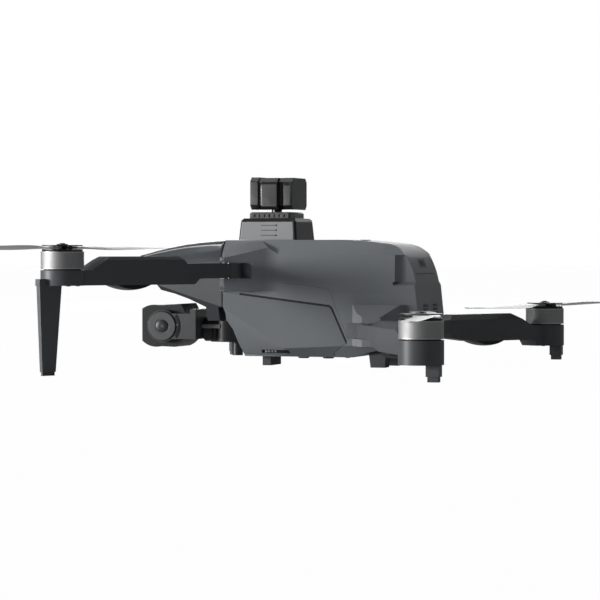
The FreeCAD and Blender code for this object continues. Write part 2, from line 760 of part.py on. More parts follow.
def front_leg(length):
    """A blade-like landing leg that tapers to a small inset pad."""
    s = size
    top_z = s.front_pod_low_z
    middle = length + s.leg_offset
    foot_middle = middle + s.leg_foot_shift

    def ring(centre, span, width, z):
        x0, x1, y0 = centre - span / 2, centre + span / 2, width / 2
        return Part.makePolygon([Vector(x0, -y0, z), Vector(x1, -y0, z), Vector(x1, y0, z),
                                 Vector(x0, y0, z), Vector(x0, -y0, z)])
    blade = Part.makeLoft([ring(middle, s.leg_top_length, s.leg_top_width, top_z),
                           ring(foot_middle, s.leg_foot_length, s.leg_foot_width, s.leg_pad_height)],
                           True, True)
    inset = 2 * s.leg_pad_inset
    pad = Part.makeBox(s.leg_foot_length - inset, s.leg_foot_width - inset, s.leg_pad_height,
                       Vector(foot_middle - s.leg_foot_length / 2 + s.leg_pad_inset,
                              s.leg_pad_inset - s.leg_foot_width / 2, 0))
    edge = middle + s.leg_top_length / 2
    collar = Part.makeBox(5, s.leg_top_width + 0.8, 3.6,
                          Vector(edge - 4.6, -0.4 - s.leg_top_width / 2, top_z))
    collar = collar.cut(round_bar(s.pod_radius + 0.05, top_z, FAR, length, 0))
    return blade.fuse([pad, collar]).removeSplitter()


def rear_leg(length):
    """A short stepped landing stub."""
    s = size
    x, y = length + 4.4, 5.6
    turn = 180 - s.rear_arm_sweep
    upper = Part.makeBox(s.rear_leg_length, s.rear_leg_width, s.rear_pod_low_z - s.rear_leg_step_z,
                         Vector(-s.rear_leg_length / 2, -s.rear_leg_width / 2, s.rear_leg_step_z))
    step = 0.7
    lower = Part.makeBox(s.rear_leg_length - 2 * step, s.rear_leg_width - 2 * step, s.rear_leg_step_z,
                         Vector(step - s.rear_leg_length / 2, step - s.rear_leg_width / 2, 0))
    leg = upper.fuse(lower)
    leg.rotate(Vector(), Vector(0, 0, 1), turn)
    leg.translate(Vector(x, y, 0))
    return leg.removeSplitter()


def lamp(at, low_z):
    """A shallow lens under the arm."""
    s = size
    radius = (s.lamp_half_length ** 2 + s.lamp_depth ** 2) / (2 * s.lamp_depth)
    ball = Part.makeSphere(radius, Vector(at, 0, low_z - s.lamp_depth + radius))
    half = s.arm_half_width - 0.5
    below = Part.makeBox(FAR, 2 * half, 20, Vector(at - FAR / 2, -half, low_z - 20))
    return ball.common(below)


def motor_stator(length, pod_top_z):
    """Motor base flange and wound stator with its bearing bore."""
    s = size
    base = round_bar(s.bell_radius - 1.5, pod_top_z, pod_top_z + s.bell_lift - 0.3, length, 0)
    inner_radius = s.bell_radius - s.bell_wall - s.magnet_gap
    core = round_bar(inner_radius, pod_top_z + s.bell_lift - 0.3,
                     pod_top_z + s.bell_lift + s.stator_height, length, 0)
    bore = round_bar(s.motor_shaft_radius + s.pin_clearance, 0, FAR, length, 0)
    slots = []
    for tooth in range(12):
        slot = Part.makeBox(3.2, 1.0, s.stator_height - 0.6,
                            Vector(inner_radius - 2.6, -0.5, pod_top_z + s.bell_lift + 0.6))
        slot.rotate(Vector(), Vector(0, 0, 1), tooth * 30)
        slot.translate(Vector(length, 0, 0))
        slots.append(slot)
    return base.fuse(core).cut(bore).cut(Part.makeCompound(slots)).removeSplitter()


def motor_bell(length, pod_top_z):
    """The turning can with its magnets' wall, vented top and shaft."""
    s = size
    low = pod_top_z + s.bell_lift
    high = low + s.bell_height
    can = round_bar(s.bell_radius, low, high, length, 0)
    hollow = round_bar(s.bell_radius - s.bell_wall, low, high - s.bell_wall, length, 0)
    shaft = round_bar(s.motor_shaft_radius, low - 0.2, high, length, 0)
    vents = []
    for spoke in range(6):
        vent = round_bar(1.5, high - 2 * s.bell_wall, high, 7.6, 0)
        vent.rotate(Vector(), Vector(0, 0, 1), spoke * 60 + 30)
        vent.translate(Vector(length, 0, 0))
        vents.append(vent)
    return can.cut(hollow).fuse(shaft).cut(Part.makeCompound(vents)).removeSplitter()


def hub_levels(pod_top_z):
    """Heights of the hub's lower plate, blade gap and upper plate."""
    s = size
    seat = pod_top_z + s.bell_lift + s.bell_height
    plate = seat + s.hub_boss_height
    gap = plate + s.hub_plate
    roof = gap + s.blade_root_thick + 2 * s.blade_play
    return seat, plate, gap, roof


def around_motor(length, reach, turn):
    """A point at a distance from the motor axis, turned from the arm's line."""
    angle = math.radians(turn)
    return length + reach * math.cos(angle), reach * math.sin(angle)


def prop_hub(length, pod_top_z, turn):
    """Two discs on a boss, with a pin for each blade between them."""
    s = size
    seat, plate, gap, roof = hub_levels(pod_top_z)
    boss = round_bar(5.0, seat, plate, length, 0)
    column = round_bar(s.hub_boss_radius, plate, roof, length, 0)
    lower = round_bar(s.hub_radius, plate, gap, length, 0)
    upper = round_bar(s.hub_radius, roof, roof + s.hub_plate, length, 0)
    cap = Part.makeCone(3.4, 2.6, 0.6, Vector(length, 0, roof + s.hub_plate))
    pins = [round_bar(s.blade_pin_radius, plate, roof + s.hub_plate,
                      *around_motor(length, side * s.blade_pin_offset, turn)) for side in (1, -1)]
    return boss.fuse([column, lower, upper, cap] + pins).removeSplitter()


def blade_section(reach, chord, thick, pitch, z):
    """One lens-shaped blade section, at a place along the arm."""
    half = chord / 2
    ring = [Vector(0, -half, 0), Vector(0, 0, thick / 2), Vector(0, half, 0), Vector(0, 0, -thick / 2)]
    top = Part.Arc(ring[0], ring[1], ring[2]).toShape()
    bottom = Part.Arc(ring[2], ring[3], ring[0]).toShape()
    wire = Part.Wire([top, bottom])
    wire.rotate(Vector(), Vector(1, 0, 0), pitch)
    wire.translate(Vector(reach, 0, z))
    return wire


def blade(length, pod_top_z, turn, direction):
    """A blade with an eye for its pin; direction is +1 outboard, -1 inboard."""
    s = size
    _, _, gap, roof = hub_levels(pod_top_z)
    z = (gap + roof) / 2
    pin = s.blade_pin_offset
    span = s.prop_radius - pin
    flat = s.blade_root_thick
    # share of the span, share of the chord, thickness, share of the pitch
    rows = [(0.03, 0.33, flat, 0), (0.11, 0.39, flat, 0), (0.17, 0.55, flat, 0.7), (0.24, 0.75, 1.6, 1),
            (0.32, 0.92, 1.6, 1), (0.42, 1.0, 1.5, 0.95), (0.54, 0.92, 1.4, 0.85), (0.66, 0.8, 1.3, 0.75),
            (0.78, 0.67, 1.1, 0.65), (0.9, 0.5, 0.9, 0.55), (1.0, 0.24, 0.6, 0.5)]
    wires = []
    for reach, chord, thick, pitch in rows:
        wire = blade_section(length + direction * (pin + reach * span), chord * s.blade_chord, thick,
                             direction * pitch * s.blade_pitch, z)
        wire.rotate(Vector(length, 0, 0), Vector(0, 0, 1), turn)
        wires.append(wire)
    vane = Part.makeLoft(wires, True, True)
    pin_at = around_motor(length, direction * pin, turn)
    eye = round_bar(s.blade_root_radius, gap + s.blade_play, roof - s.blade_play, *pin_at)
    return eye.fuse(vane).cut(round_bar(s.blade_pin_radius + s.pin_clearance, 0, FAR, *pin_at))


def stand_on_pivot(obj, corner):
    """Carry a piece from the arm's own frame to its hinge, turned to the arm's heading."""
    obj.Placement = Placement(Vector(), Rotation(Vector(0, 0, 1), 0))
    place(obj, corner + "_pivot_x", "pivot_y")
    obj.setExpression("Placement.Rotation.Angle", "Sizes.%s_arm_sweep" % corner)
    return obj


def arm_pieces(corner):
    """Every piece that one arm carries, in the arm's own frame."""
    s = size
    get = lambda name: getattr(s, "%s_%s" % (corner, name))
    length = get("arm_length")
    top = get("pod_top_z")
    turn = get("blade_rest_turn")
    leg = front_leg(length) if corner == "front" else rear_leg(length)
    return {"arm": arm_solid(corner), "leg": leg, "arm_lamp": lamp(get("lamp_at"), get("arm_low_z")),
            "motor_stator": motor_stator(length, top), "motor_bell": motor_bell(length, top),
            "prop_hub": prop_hub(length, top, turn), "blade_outer": blade(length, top, turn, 1),
            "blade_inner": blade(length, top, turn, -1)}


for corner in ("front", "rear"):
    for piece, shape in arm_pieces(corner).items():
        name = "%s_left_%s" % (corner, piece)
        left = stand_on_pivot(feature(name.title().replace("_", ""), shape), corner)
        node(left, name)
        node(mirrored(left.Name + "Right", left), name.replace("left", "right"))


# ---------------------------------------------------------------- gimbal and camera
def gimbal_plate():
    """Metal plate under the chin, hung on rubber dampers, with the yaw motor's round can."""
    low = "(cheek_bottom_z + 12 - damper_height - gimbal_plate_thick)"
    plate = box("DamperPlate", "cheek_front_x + 2 - hood_start_x", 25, "gimbal_plate_thick",
                "hood_start_x + 1", -12.5, low)
    can = cylinder("YawMotorCan", "yaw_arm_radius - 0.6", low + " - cheek_bottom_z",
                   "yaw_axis_x", 0, "cheek_bottom_z")
    return fuse("GimbalPlate", plate, can)


def gimbal_dampers():
    """Four waisted rubber balls between the plate and the body."""
    s = size
    high = s.cheek_bottom_z + 12
    low = high - s.damper_height
    balls = []
    for x in (s.hood_start_x + 4, s.cheek_front_x):
        for y in (10, -10):
            ball = Part.makeSphere(s.damper_radius, Vector(x, y, (low + high) / 2))
            balls.append(ball.common(slab(x - 5, x + 5, low, high)))
    return Part.makeCompound(balls)


def gimbal_yaw_arm():
    """Black arm that turns under the plate and reaches forward to the roll motor."""
    s = size
    x, axis = s.yaw_axis_x, s.gimbal_axis_z
    low = axis - 9.2
    top = s.cheek_bottom_z - s.gimbal_gap
    drum = round_bar(s.yaw_arm_radius, low, top, x, 0)
    peg = round_bar(3, low - 7.8, low, x - 5.5, 0)
    neck = slab(x, x + 9, low, axis + 2.4, 5.5)
    motor = Part.makeCylinder(s.roll_motor_radius, s.roll_motor_length,
                              Vector(x + 8, 0, axis - 2), Vector(1, 0, 0))
    return drum.fuse([peg, neck, motor]).removeSplitter()


def gimbal_roll_arm():
    """Fork that rolls on the yaw arm's motor and carries the pitch motor on its left."""
    s = size
    back = s.yaw_axis_x + 8 + s.roll_motor_length + s.gimbal_gap
    outer_half = s.yoke_half_width
    inner_half = outer_half - s.yoke_thick
    x, axis = s.pitch_axis_x, s.gimbal_axis_z
    across = Vector(0, 1, 0)
    spine = slab(back, back + 3.4, axis - 7.5, axis + 9.8, outer_half)
    cheeks = on_both_sides(slab(back, x, axis - 7.5, axis + 7.3, outer_half, inner_half))
    disc = Part.makeCylinder(s.pitch_disc_radius, s.yoke_thick, Vector(x, inner_half, axis), across)
    face = Part.makeCylinder(s.pitch_disc_radius - 1, 0.5, Vector(x, outer_half, axis), across)
    cap = Part.makeCylinder(3.7, 1, Vector(x, outer_half, axis), across)
    boss = Part.makeCylinder(7.3, s.yoke_thick, Vector(x, -outer_half, axis), across)
    return spine.fuse([cheeks, disc, face, cap, boss]).removeSplitter()


def camera_profile():
    """Side outline of the camera: a flat face, a long sloping top and a rounded back."""
    s = size
    x, z = s.pitch_axis_x, s.gimbal_axis_z
    half = s.camera_length / 2
    top, bottom = z + s.camera_top, z - s.camera_bottom
    face_top, face_bottom = (x + half, top - 3), (x + half, bottom + 3.5)
    crown, back_top = (x + 3.5, top - 1), (x - 9.9, top)
    chin, back_bottom = (x + 2.5, bottom + 0.3), (x - 6, bottom)
    edges = straight(back_bottom, chin)
    edges.append(through(chin, (x + half - 3.2, bottom + 1.2), face_bottom))
    edges += straight(face_bottom, face_top)
    edges.append(through(face_top, (x + half - 2.6, top - 1.6), crown))
    edges += straight(crown, back_top)
    edges.append(through(back_top, (x - half + 0.9, z + 5.5), (x - half, z)))
    edges.append(through((x - half, z), (x - half + 2.2, z - 7.6), back_bottom))
    return Part.Face(Part.Wire(Part.__sortEdges__(edges)))


def camera_housing():
    s = size
    half = s.camera_half_width
    body = camera_profile().extrude(Vector(0, 2 * half, 0))
    body.translate(Vector(0, -half, 0))
    front = s.pitch_axis_x + s.camera_length / 2
    seat = Part.makeCylinder(s.lens_radius + 0.1, 4, Vector(front - 3, 0, s.gimbal_axis_z), Vector(1, 0, 0))
    return body.cut(seat).removeSplitter()


def camera_lens():
    """Lens barrel with a dished front, in the camera's face."""
    front = "pitch_axis_x + camera_length / 2"
    barrel = cylinder("LensBarrel", "lens_radius", "lens_length", front + " - 3", 0, "gimbal_axis_z",
                      along="X")
    dish = doc.addObject("Part::Cone", "LensDish")
    dish.Placement = Placement(Vector(), Rotation(Vector(0, 1, 0), 90))
    bind(dish, Radius1="lens_radius - 3", Radius2="lens_radius - 1", Height="1.4")
    place(dish, front + " - 4.4 + lens_length", 0, "gimbal_axis_z")
    return cut("CameraLens", barrel, dish)


node(gimbal_plate(), "gimbal_plate")
node(feature("GimbalDampers", gimbal_dampers()), "gimbal_dampers")
node(feature("GimbalYawArm", gimbal_yaw_arm()), "gimbal_yaw_arm")
node(feature("GimbalRollArm", gimbal_roll_arm()), "gimbal_roll_arm")
node(feature("CameraHousing", camera_housing()), "camera_housing")
node(camera_lens(), "camera_lens")


# ---------------------------------------------------------------- turret
def chamfered_plan(half_length, half_width, corner, centre_x):
    """An octagonal plan with 45 degree corners."""
    a, b, c = half_length, half_width, corner
    half = [(a, b - c), (a - c, b), (c - a, b), (-a, b - c)]
    ring = half + [(x, -y) for x, y in reversed(half)]
    return [(x + centre_x, y) for x, y in ring]


def turret_base():
    """Plinth screwed to the crown: slightly raked, with a bevelled lid."""
    s = size
    a, b, t = s.turret_base_length / 2, s.turret_base_half_width - s.turret_plate_thick, s.turret_taper
    corner = s.turret_base_corner
    lid = s.turret_base_high_z - s.turret_lid_thick
    low = chamfered_plan(a, b, corner, s.turret_x)
    high = chamfered_plan(a - t, b - t, corner, s.turret_x)
    rim = chamfered_plan(a - t - 1.2, b - t - 1.2, corner, s.turret_x)
    plinth = tapered_block(low, high, s.crown_z, lid)
    bevel = tapered_block(high, rim, lid, s.turret_base_high_z)
    return plinth.fuse(bevel).removeSplitter()


def turret_side_plates():
    """Light plates on the plinth's two long sides."""
    s = size
    a, b, t = s.turret_base_length / 2, s.turret_base_half_width, s.turret_taper
    thick = s.turret_plate_thick
    lid = s.turret_base_high_z - s.turret_lid_thick
    low = [(s.turret_x - a + 1, b - thick), (s.turret_x + a - 1, b - thick), (s.turret_x + a - 1.6, b),
           (s.turret_x - a + 1.6, b)]
    high = [(s.turret_x + (x - s.turret_x) * (a - t) / a, y - t) for x, y in low]
    return on_both_sides(tapered_block(low, high, s.crown_z, lid))


def turret_ring():
    """Square collar with slotted sides round the turret's bearing."""
    s = size
    low = s.turret_base_high_z
    high = low + s.turret_ring_height
    half, bevel = s.turret_ring_half, s.turret_ring_bevel
    wide = chamfered_plan(half, half, 1.2, s.turret_x)
    narrow = chamfered_plan(half - bevel, half - bevel, 1.2, s.turret_x)
    ring = tapered_block(wide, wide, low, high - bevel).fuse(tapered_block(wide, narrow, high - bevel, high))
    ring = ring.cut(round_bar(s.turret_neck_radius + s.pin_clearance, low, high, s.turret_x, 0))
    slots = []
    for row in range(7):
        x = s.turret_x + (row - 3) * 3.0
        slots.append(on_both_sides(slab(x - 0.5, x + 0.5, low + 0.7, high - bevel - 0.5, half + 1, half - 0.7)))
    return ring.cut(Part.makeCompound(slots)).removeSplitter()


def turret_head():
    """The turning head: front bezel, middle body with a side recess, rounded rear block."""
    s = size
    low, high = s.turret_head_low_z, s.turret_head_high_z
    b = s.turret_head_half_width
    front = s.turret_x - s.turret_head_shift + s.turret_head_half_length
    rear = front - 2 * s.turret_head_half_length
    round_z = 2.4

    def block(x_from, x_to, half, drop):
        plan = [(-half, low + round_z), (round_z - half, low), (half - round_z, low), (half, low + round_z),
                (half, high - drop - round_z), (half - round_z, high - drop), (round_z - half, high - drop),
                (-half, high - drop - round_z)]
        return prism([(x_from, y, z) for y, z in plan], Vector(), Vector(x_to - x_from, 0, 0))
    bezel = block(front - 4.9, front, b, 0)
    groove = block(front - 6.4, front - 4.9, b - 0.6, 0.6)
    middle = block(front - 16.4, front - 6.4, b, 0.4)
    gap = block(front - 20, front - 16.4, b - 2.4, 0.4)
    facet = block(front - 24, front - 20, b - 0.6, 0.4)
    back = block(rear, front - 24, b, 0.4)
    neck = round_bar(s.turret_neck_radius, s.turret_base_high_z + 0.3, low + 1, s.turret_x, 0)
    head = bezel.fuse([groove, middle, gap, facet, back, neck])
    return head.cut(turret_eye_room(0.1)).removeSplitter()


def turret_eye_room(grow):
    s = size
    front = s.turret_x - s.turret_head_shift + s.turret_head_half_length
    middle_z = (s.turret_head_low_z + s.turret_head_high_z) / 2
    bar = Part.makeCylinder(s.turret_eye_radius + grow, 3, Vector(front - 2, 6.0, middle_z), Vector(1, 0, 0))
    return on_both_sides(bar)


def turret_lenses():
    """The ranging sensor's two round windows."""
    s = size
    front = s.turret_x - s.turret_head_shift + s.turret_head_half_length
    return turret_eye_room(0).common(slab(front - 2, front - 0.4, 0, FAR))


node(feature("TurretBase", turret_base()), "turret_base")
node(feature("TurretSidePlates", turret_side_plates()), "turret_side_plates")
node(feature("TurretRing", turret_ring()), "turret_ring")
node(feature("TurretHead", turret_head()), "turret_head")
node(feature("TurretLenses", turret_lenses()), "turret_lenses")


# ---------------------------------------------------------------- check and write
doc.recompute()
for obj in doc.Objects:
    if {"Invalid", "Error"} & set(obj.State):
        raise RuntimeError("%s could not be built: %s" % (obj.Label, obj.State))
for obj in nodes:
    if obj.Shape.isNull() or not obj.Shape.isValid() or not obj.Shape.Solids:
        raise RuntimeError("%s has no valid solid" % obj.Label)

os.makedirs("parts", exist_ok=True)
for obj in nodes:
    obj.Shape.exportStep("parts/%s.step" % obj.Label)
print("wrote %d sub-parts" % len(nodes))
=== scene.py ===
"""Looks of a folding camera drone: finishes for its machined and moulded pieces, and the fine
pieces that are modelled as surfaces.  Metres; +X is the nose, +Y the left side, +Z up."""
import math

import bpy
import numpy as np
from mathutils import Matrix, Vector


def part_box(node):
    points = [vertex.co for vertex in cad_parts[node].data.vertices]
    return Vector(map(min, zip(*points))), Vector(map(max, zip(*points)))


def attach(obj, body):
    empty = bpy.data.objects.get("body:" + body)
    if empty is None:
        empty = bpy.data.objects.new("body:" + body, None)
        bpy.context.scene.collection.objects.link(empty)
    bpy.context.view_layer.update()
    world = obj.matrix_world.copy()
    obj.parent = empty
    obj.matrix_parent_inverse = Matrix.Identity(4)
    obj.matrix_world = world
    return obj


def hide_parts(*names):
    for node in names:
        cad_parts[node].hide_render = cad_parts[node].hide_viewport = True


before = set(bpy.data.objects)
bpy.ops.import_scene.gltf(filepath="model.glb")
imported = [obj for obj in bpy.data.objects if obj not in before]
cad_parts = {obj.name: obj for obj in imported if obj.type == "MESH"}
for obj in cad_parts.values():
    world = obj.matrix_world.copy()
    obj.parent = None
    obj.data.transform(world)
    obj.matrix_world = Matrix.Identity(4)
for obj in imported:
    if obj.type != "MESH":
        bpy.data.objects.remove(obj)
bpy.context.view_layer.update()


# ---------------------------------------------------------------- studio
# A white floor in a white room, with a soft lamp off the nose, a thin strip overhead and one
# behind, which draw the bright lines along the hood, and a weak soft lamp on the far side.
FILL = 0.10
PATCH_DIRECTION, PATCH_EDGE = (0.32, -0.947, 0.02), (0.93, 0.99)
FLOOR_RADIUS, FLOOR_GLOW = 9.0, 0.985
SHARP_ARRIS = math.radians(38)


def grey(level, warm=0.0):
    """Linear colour of an 8-bit screen grey; warm shifts red up and blue down by that many steps."""
    steps = np.array([level + warm, level, level - warm]) / 255
    linear = np.where(steps > 0.04045, ((steps + 0.055) / 1.055) ** 2.4, steps / 12.92)
    return (*linear.tolist(), 1.0)


def shown_rays(nodes, links):
    """The ray's path, and a switch that is 1 where it runs straight to the eye or through glass."""
    path = nodes.new("ShaderNodeLightPath")
    first = nodes.new("ShaderNodeMath")
    first.operation = "MAXIMUM"
    links.new(path.outputs["Is Camera Ray"], first.inputs[0])
    links.new(path.outputs["Is Transmission Ray"], first.inputs[1])
    return path, first.outputs[0]


def white_room():
    """White to the eye and in glass, but only a weak bluish fill for the object itself; polished
    faces also mirror a narrow white patch behind the object."""
    world = bpy.data.worlds.new("white_room")
    bpy.context.scene.world = world
    world.use_nodes = True
    nodes, links = world.node_tree.nodes, world.node_tree.links
    nodes.clear()
    path, seen = shown_rays(nodes, links)
    fill = nodes.new("ShaderNodeBackground")
    fill.inputs["Color"].default_value = (0.93, 0.96, 1.0, 1)
    fill.inputs["Strength"].default_value = FILL
    white = nodes.new("ShaderNodeBackground")
    white.inputs["Color"].default_value = (1, 1, 1, 1)
    white.inputs["Strength"].default_value = 1.0
    where = nodes.new("ShaderNodeTexCoord")
    away = nodes.new("ShaderNodeVectorMath")
    away.operation = "DOT_PRODUCT"
    away.inputs[1].default_value = PATCH_DIRECTION
    ramp = nodes.new("ShaderNodeMapRange")
    ramp.inputs["From Min"].default_value, ramp.inputs["From Max"].default_value = PATCH_EDGE
    links.new(where.outputs["Generated"], away.inputs[0])
    links.new(away.outputs["Value"], ramp.inputs["Value"])
    mirrored = nodes.new("ShaderNodeMath")
    mirrored.operation = "MULTIPLY"
    links.new(path.outputs["Is Glossy Ray"], mirrored.inputs[0])
    links.new(ramp.outputs["Result"], mirrored.inputs[1])
    shown = nodes.new("ShaderNodeMath")
    shown.operation = "MAXIMUM"
    links.new(seen, shown.inputs[0])
    links.new(mirrored.outputs[0], shown.inputs[1])
    mix = nodes.new("ShaderNodeMixShader")
    out = nodes.new("ShaderNodeOutputWorld")
    links.new(shown.outputs[0], mix.inputs[0])
    links.new(fill.outputs[0], mix.inputs[1])
    links.new(white.outputs[0], mix.inputs[2])
    links.new(mix.outputs[0], out.inputs["Surface"])


def soft_lamp(name, place, aim, width, height, power):
    """A flat rectangular lamp at place that faces aim; metres and watts."""
    lamp = bpy.data.lights.new(name, "AREA")
    lamp.shape = "RECTANGLE"
    lamp.size, lamp.size_y, lamp.energy = width, height, power
    holder = bpy.data.objects.new(name, lamp)
    bpy.context.scene.collection.objects.link(holder)
    holder.location = place
    holder.rotation_euler = (Vector(aim) - Vector(place)).to_track_quat("-Z", "Y").to_euler()


def sheet(name, points, material, around=False, cap=False):
    """A mesh from a grid of points (rows, columns, xyz): each face joins a point to its right-hand,
    diagonal and next-row neighbours.  around joins the last column to the first, and cap closes
    the last row with one flat face."""
    rows, columns = points.shape[:2]
    index = np.arange(rows * columns).reshape(rows, columns)
    if around:
        index = np.concatenate([index, index[:, :1]], 1)
    quads = np.stack([index[:-1, :-1], index[:-1, 1:], index[1:, 1:], index[1:, :-1]], -1)
    faces = quads.reshape(-1, 4).tolist()
    if cap:
        faces.append(index[-1, :columns].tolist())
    mesh = bpy.data.meshes.new(name)
    mesh.from_pydata(points.reshape(-1, 3).tolist(), [], faces)
    mesh.materials.append(material)
    mesh.polygons.foreach_set("use_smooth", np.full(len(mesh.polygons), True))
    mesh.set_sharp_from_angle(angle=SHARP_ARRIS)
    mesh.update()
    piece = bpy.data.objects.new(name, mesh)
    bpy.context.scene.collection.objects.link(piece)
    return piece


def pale_floor():
    """A wide disc of rings whose radius grows with the square of their number; it shows as white
    less the shade thrown on it, and is clear from beneath.  Its faces point down, so that their
    backs are what is seen from above."""
    rings, spokes = 24, 96
    r = FLOOR_RADIUS * np.linspace(0, 1, rings)[:, None] ** 2
    turn = np.linspace(0, 2 * np.pi, spokes, endpoint=False)[None, :]
    points = np.stack([r * np.cos(turn), r * np.sin(turn), 0 * r * turn], -1)
    material = bpy.data.materials.new("pale_floor")
    material.use_nodes = True
    nodes, links = material.node_tree.nodes, material.node_tree.links
    nodes.clear()
    seen = shown_rays(nodes, links)[1]
    paint = nodes.new("ShaderNodeBsdfDiffuse")
    paint.inputs["Color"].default_value = (0.8, 0.8, 0.8, 1)
    glow = nodes.new("ShaderNodeEmission")
    glow.inputs["Strength"].default_value = 1.0
    share = nodes.new("ShaderNodeMath")
    share.operation = "MULTIPLY"
    share.inputs[1].default_value = FLOOR_GLOW
    mix = nodes.new("ShaderNodeMixShader")
    out = nodes.new("ShaderNodeOutputMaterial")
    links.new(seen, share.inputs[0])
    links.new(share.outputs[0], mix.inputs[0])
    links.new(paint.outputs[0], mix.inputs[1])
    links.new(glow.outputs[0], mix.inputs[2])
    facing = nodes.new("ShaderNodeNewGeometry")
    clear = nodes.new("ShaderNodeBsdfTransparent")
    one_way = nodes.new("ShaderNodeMixShader")
    links.new(facing.outputs["Backfacing"], one_way.inputs[0])
    links.new(clear.outputs[0], one_way.inputs[1])
    links.new(mix.outputs[0], one_way.inputs[2])
    links.new(one_way.outputs[0], out.inputs["Surface"])
    return sheet("studio_floor", points, material, around=True)


white_room()
pale_floor()
soft_lamp("nose_softbox", (1.33, 0.90, 0.10), (0, 0, 0.05), 0.5, 0.5, 30)
soft_lamp("overhead_strip", (0.55, 0.03, 1.4), (0.05, 0, 0.06), 0.07, 1.5, 2.6)
soft_lamp("back_strip", (0.3, -1.0, 1.1), (0.05, 0, 0.06), 1.6, 0.10, 2)
soft_lamp("far_softbox", (0.35, -1.6, 0.25), (0, 0, 0.05), 1.0, 0.8, 8)

# The eye stands off the left flank, a little behind, at about the height of the crown.
EYE = (-0.4497, 1.3592, 0.0677)
TURN_FORWARD, TIP_DOWN = math.radians(18.736), math.radians(1.17)
FOCAL_LENGTH, SENSOR_WIDTH = 149.5, 36.0
lens = bpy.data.cameras.new("eye")
lens.lens, lens.sensor_width = FOCAL_LENGTH, SENSOR_WIDTH
lens.clip_start, lens.clip_end = 0.05, 50
camera = bpy.data.objects.new("eye", lens)
bpy.context.scene.collection.objects.link(camera)
camera.location = EYE
level = math.cos(TIP_DOWN)
look = Vector((math.sin(TURN_FORWARD) * level, -math.cos(TURN_FORWARD) * level, -math.sin(TIP_DOWN)))
camera.rotation_euler = look.to_track_quat("-Z", "Y").to_euler()
bpy.context.scene.camera = camera
bpy.context.scene.view_settings.view_transform = "Standard"


# ---------------------------------------------------------------- body shells
# Two thin shells of mid-grey moulded plastic, closed along the waist.  Their outside has a fine
# spark-eroded grain; the side panels snap in from outside.
MM = 0.001
UP, DOWN = (0, 0, 1), (0, 0, -1)
AHEAD, LEFT, RIGHT = (1, 0, 0), (0, 1, 0), (0, -1, 0)


def moulded(name, colour, roughness, grain=0.30, depth=0.012, edge=0.35, specular=0.5, coat=0.0,
            wear=0.25):
    """Moulded plastic: fine grain, broad flow marks that shift tint and gloss, and rounded arrises
    that rub paler where the softened normal leaves the true one.  grain, depth and edge are
    millimetres."""
    material = bpy.data.materials.new(name)
    material.use_nodes = True
    nodes, links = material.node_tree.nodes, material.node_tree.links
    skin = nodes["Principled BSDF"]
    skin.inputs["Specular IOR Level"].default_value = specular
    skin.inputs["Coat Weight"].default_value = coat
    skin.inputs["Coat Roughness"].default_value = 0.08
    where = nodes.new("ShaderNodeTexCoord")

    def noise(size, detail):
        node = nodes.new("ShaderNodeTexNoise")
        node.inputs["Scale"].default_value = 1 / (size * MM)
        node.inputs["Detail"].default_value = detail
        links.new(where.outputs["Object"], node.inputs["Vector"])
        return node.outputs["Fac"]

    def between(value, low, high):
        node = nodes.new("ShaderNodeMapRange")
        node.inputs["From Min"].default_value = 0.3
        node.inputs["From Max"].default_value = 0.7
        node.inputs["To Min"].default_value = low
        node.inputs["To Max"].default_value = high
        links.new(value, node.inputs["Value"])
        return node.outputs["Result"]

    flow = noise(35, 3)
    fine = noise(grain, 2)
    tint = nodes.new("ShaderNodeMix")
    tint.data_type = "RGBA"
    tint.inputs["A"].default_value = (*[c * 0.93 for c in colour[:3]], 1)
    tint.inputs["B"].default_value = (*[c * 1.07 for c in colour[:3]], 1)
    links.new(flow, tint.inputs["Factor"])
    round_off = nodes.new("ShaderNodeBevel")
    round_off.samples = 4
    round_off.inputs["Radius"].default_value = edge * MM
    flat = nodes.new("ShaderNodeNewGeometry")
    bend = nodes.new("ShaderNodeVectorMath")
    bend.operation = "DOT_PRODUCT"
    links.new(round_off.outputs["Normal"], bend.inputs[0])
    links.new(flat.outputs["True Normal"], bend.inputs[1])
    rubbed = nodes.new("ShaderNodeMapRange")
    rubbed.inputs["From Min"].default_value = 0.995
    rubbed.inputs["From Max"].default_value = 0.90
    rubbed.inputs["To Min"].default_value = 0.0
    rubbed.inputs["To Max"].default_value = wear
    links.new(bend.outputs["Value"], rubbed.inputs["Value"])
    patchy = nodes.new("ShaderNodeMath")
    patchy.operation = "MULTIPLY"
    links.new(rubbed.outputs["Result"], patchy.inputs[0])
    links.new(between(noise(6, 4), 0.35, 1.0), patchy.inputs[1])
    worn = nodes.new("ShaderNodeMix")
    worn.data_type = "RGBA"
    worn.inputs["B"].default_value = (*[min(1, c * 1.5 + 0.05) for c in colour[:3]], 1)
    links.new(patchy.outputs[0], worn.inputs["Factor"])
    links.new(tint.outputs["Result"], worn.inputs["A"])
    links.new(worn.outputs["Result"], skin.inputs["Base Color"])
    links.new(between(flow, roughness - 0.04, roughness + 0.04), skin.inputs["Roughness"])
    bump = nodes.new("ShaderNodeBump")
    bump.inputs["Strength"].default_value = 0.5
    bump.inputs["Distance"].default_value = depth * MM
    links.new(fine, bump.inputs["Height"])
    links.new(round_off.outputs["Normal"], bump.inputs["Normal"])
    links.new(bump.outputs["Normal"], skin.inputs["Normal"])
    return material


def dress(material, *names):
    """Give CAD nodes their finish."""
    for name in names:
        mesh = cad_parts[name].data
        mesh.materials.clear()
        mesh.materials.append(material)


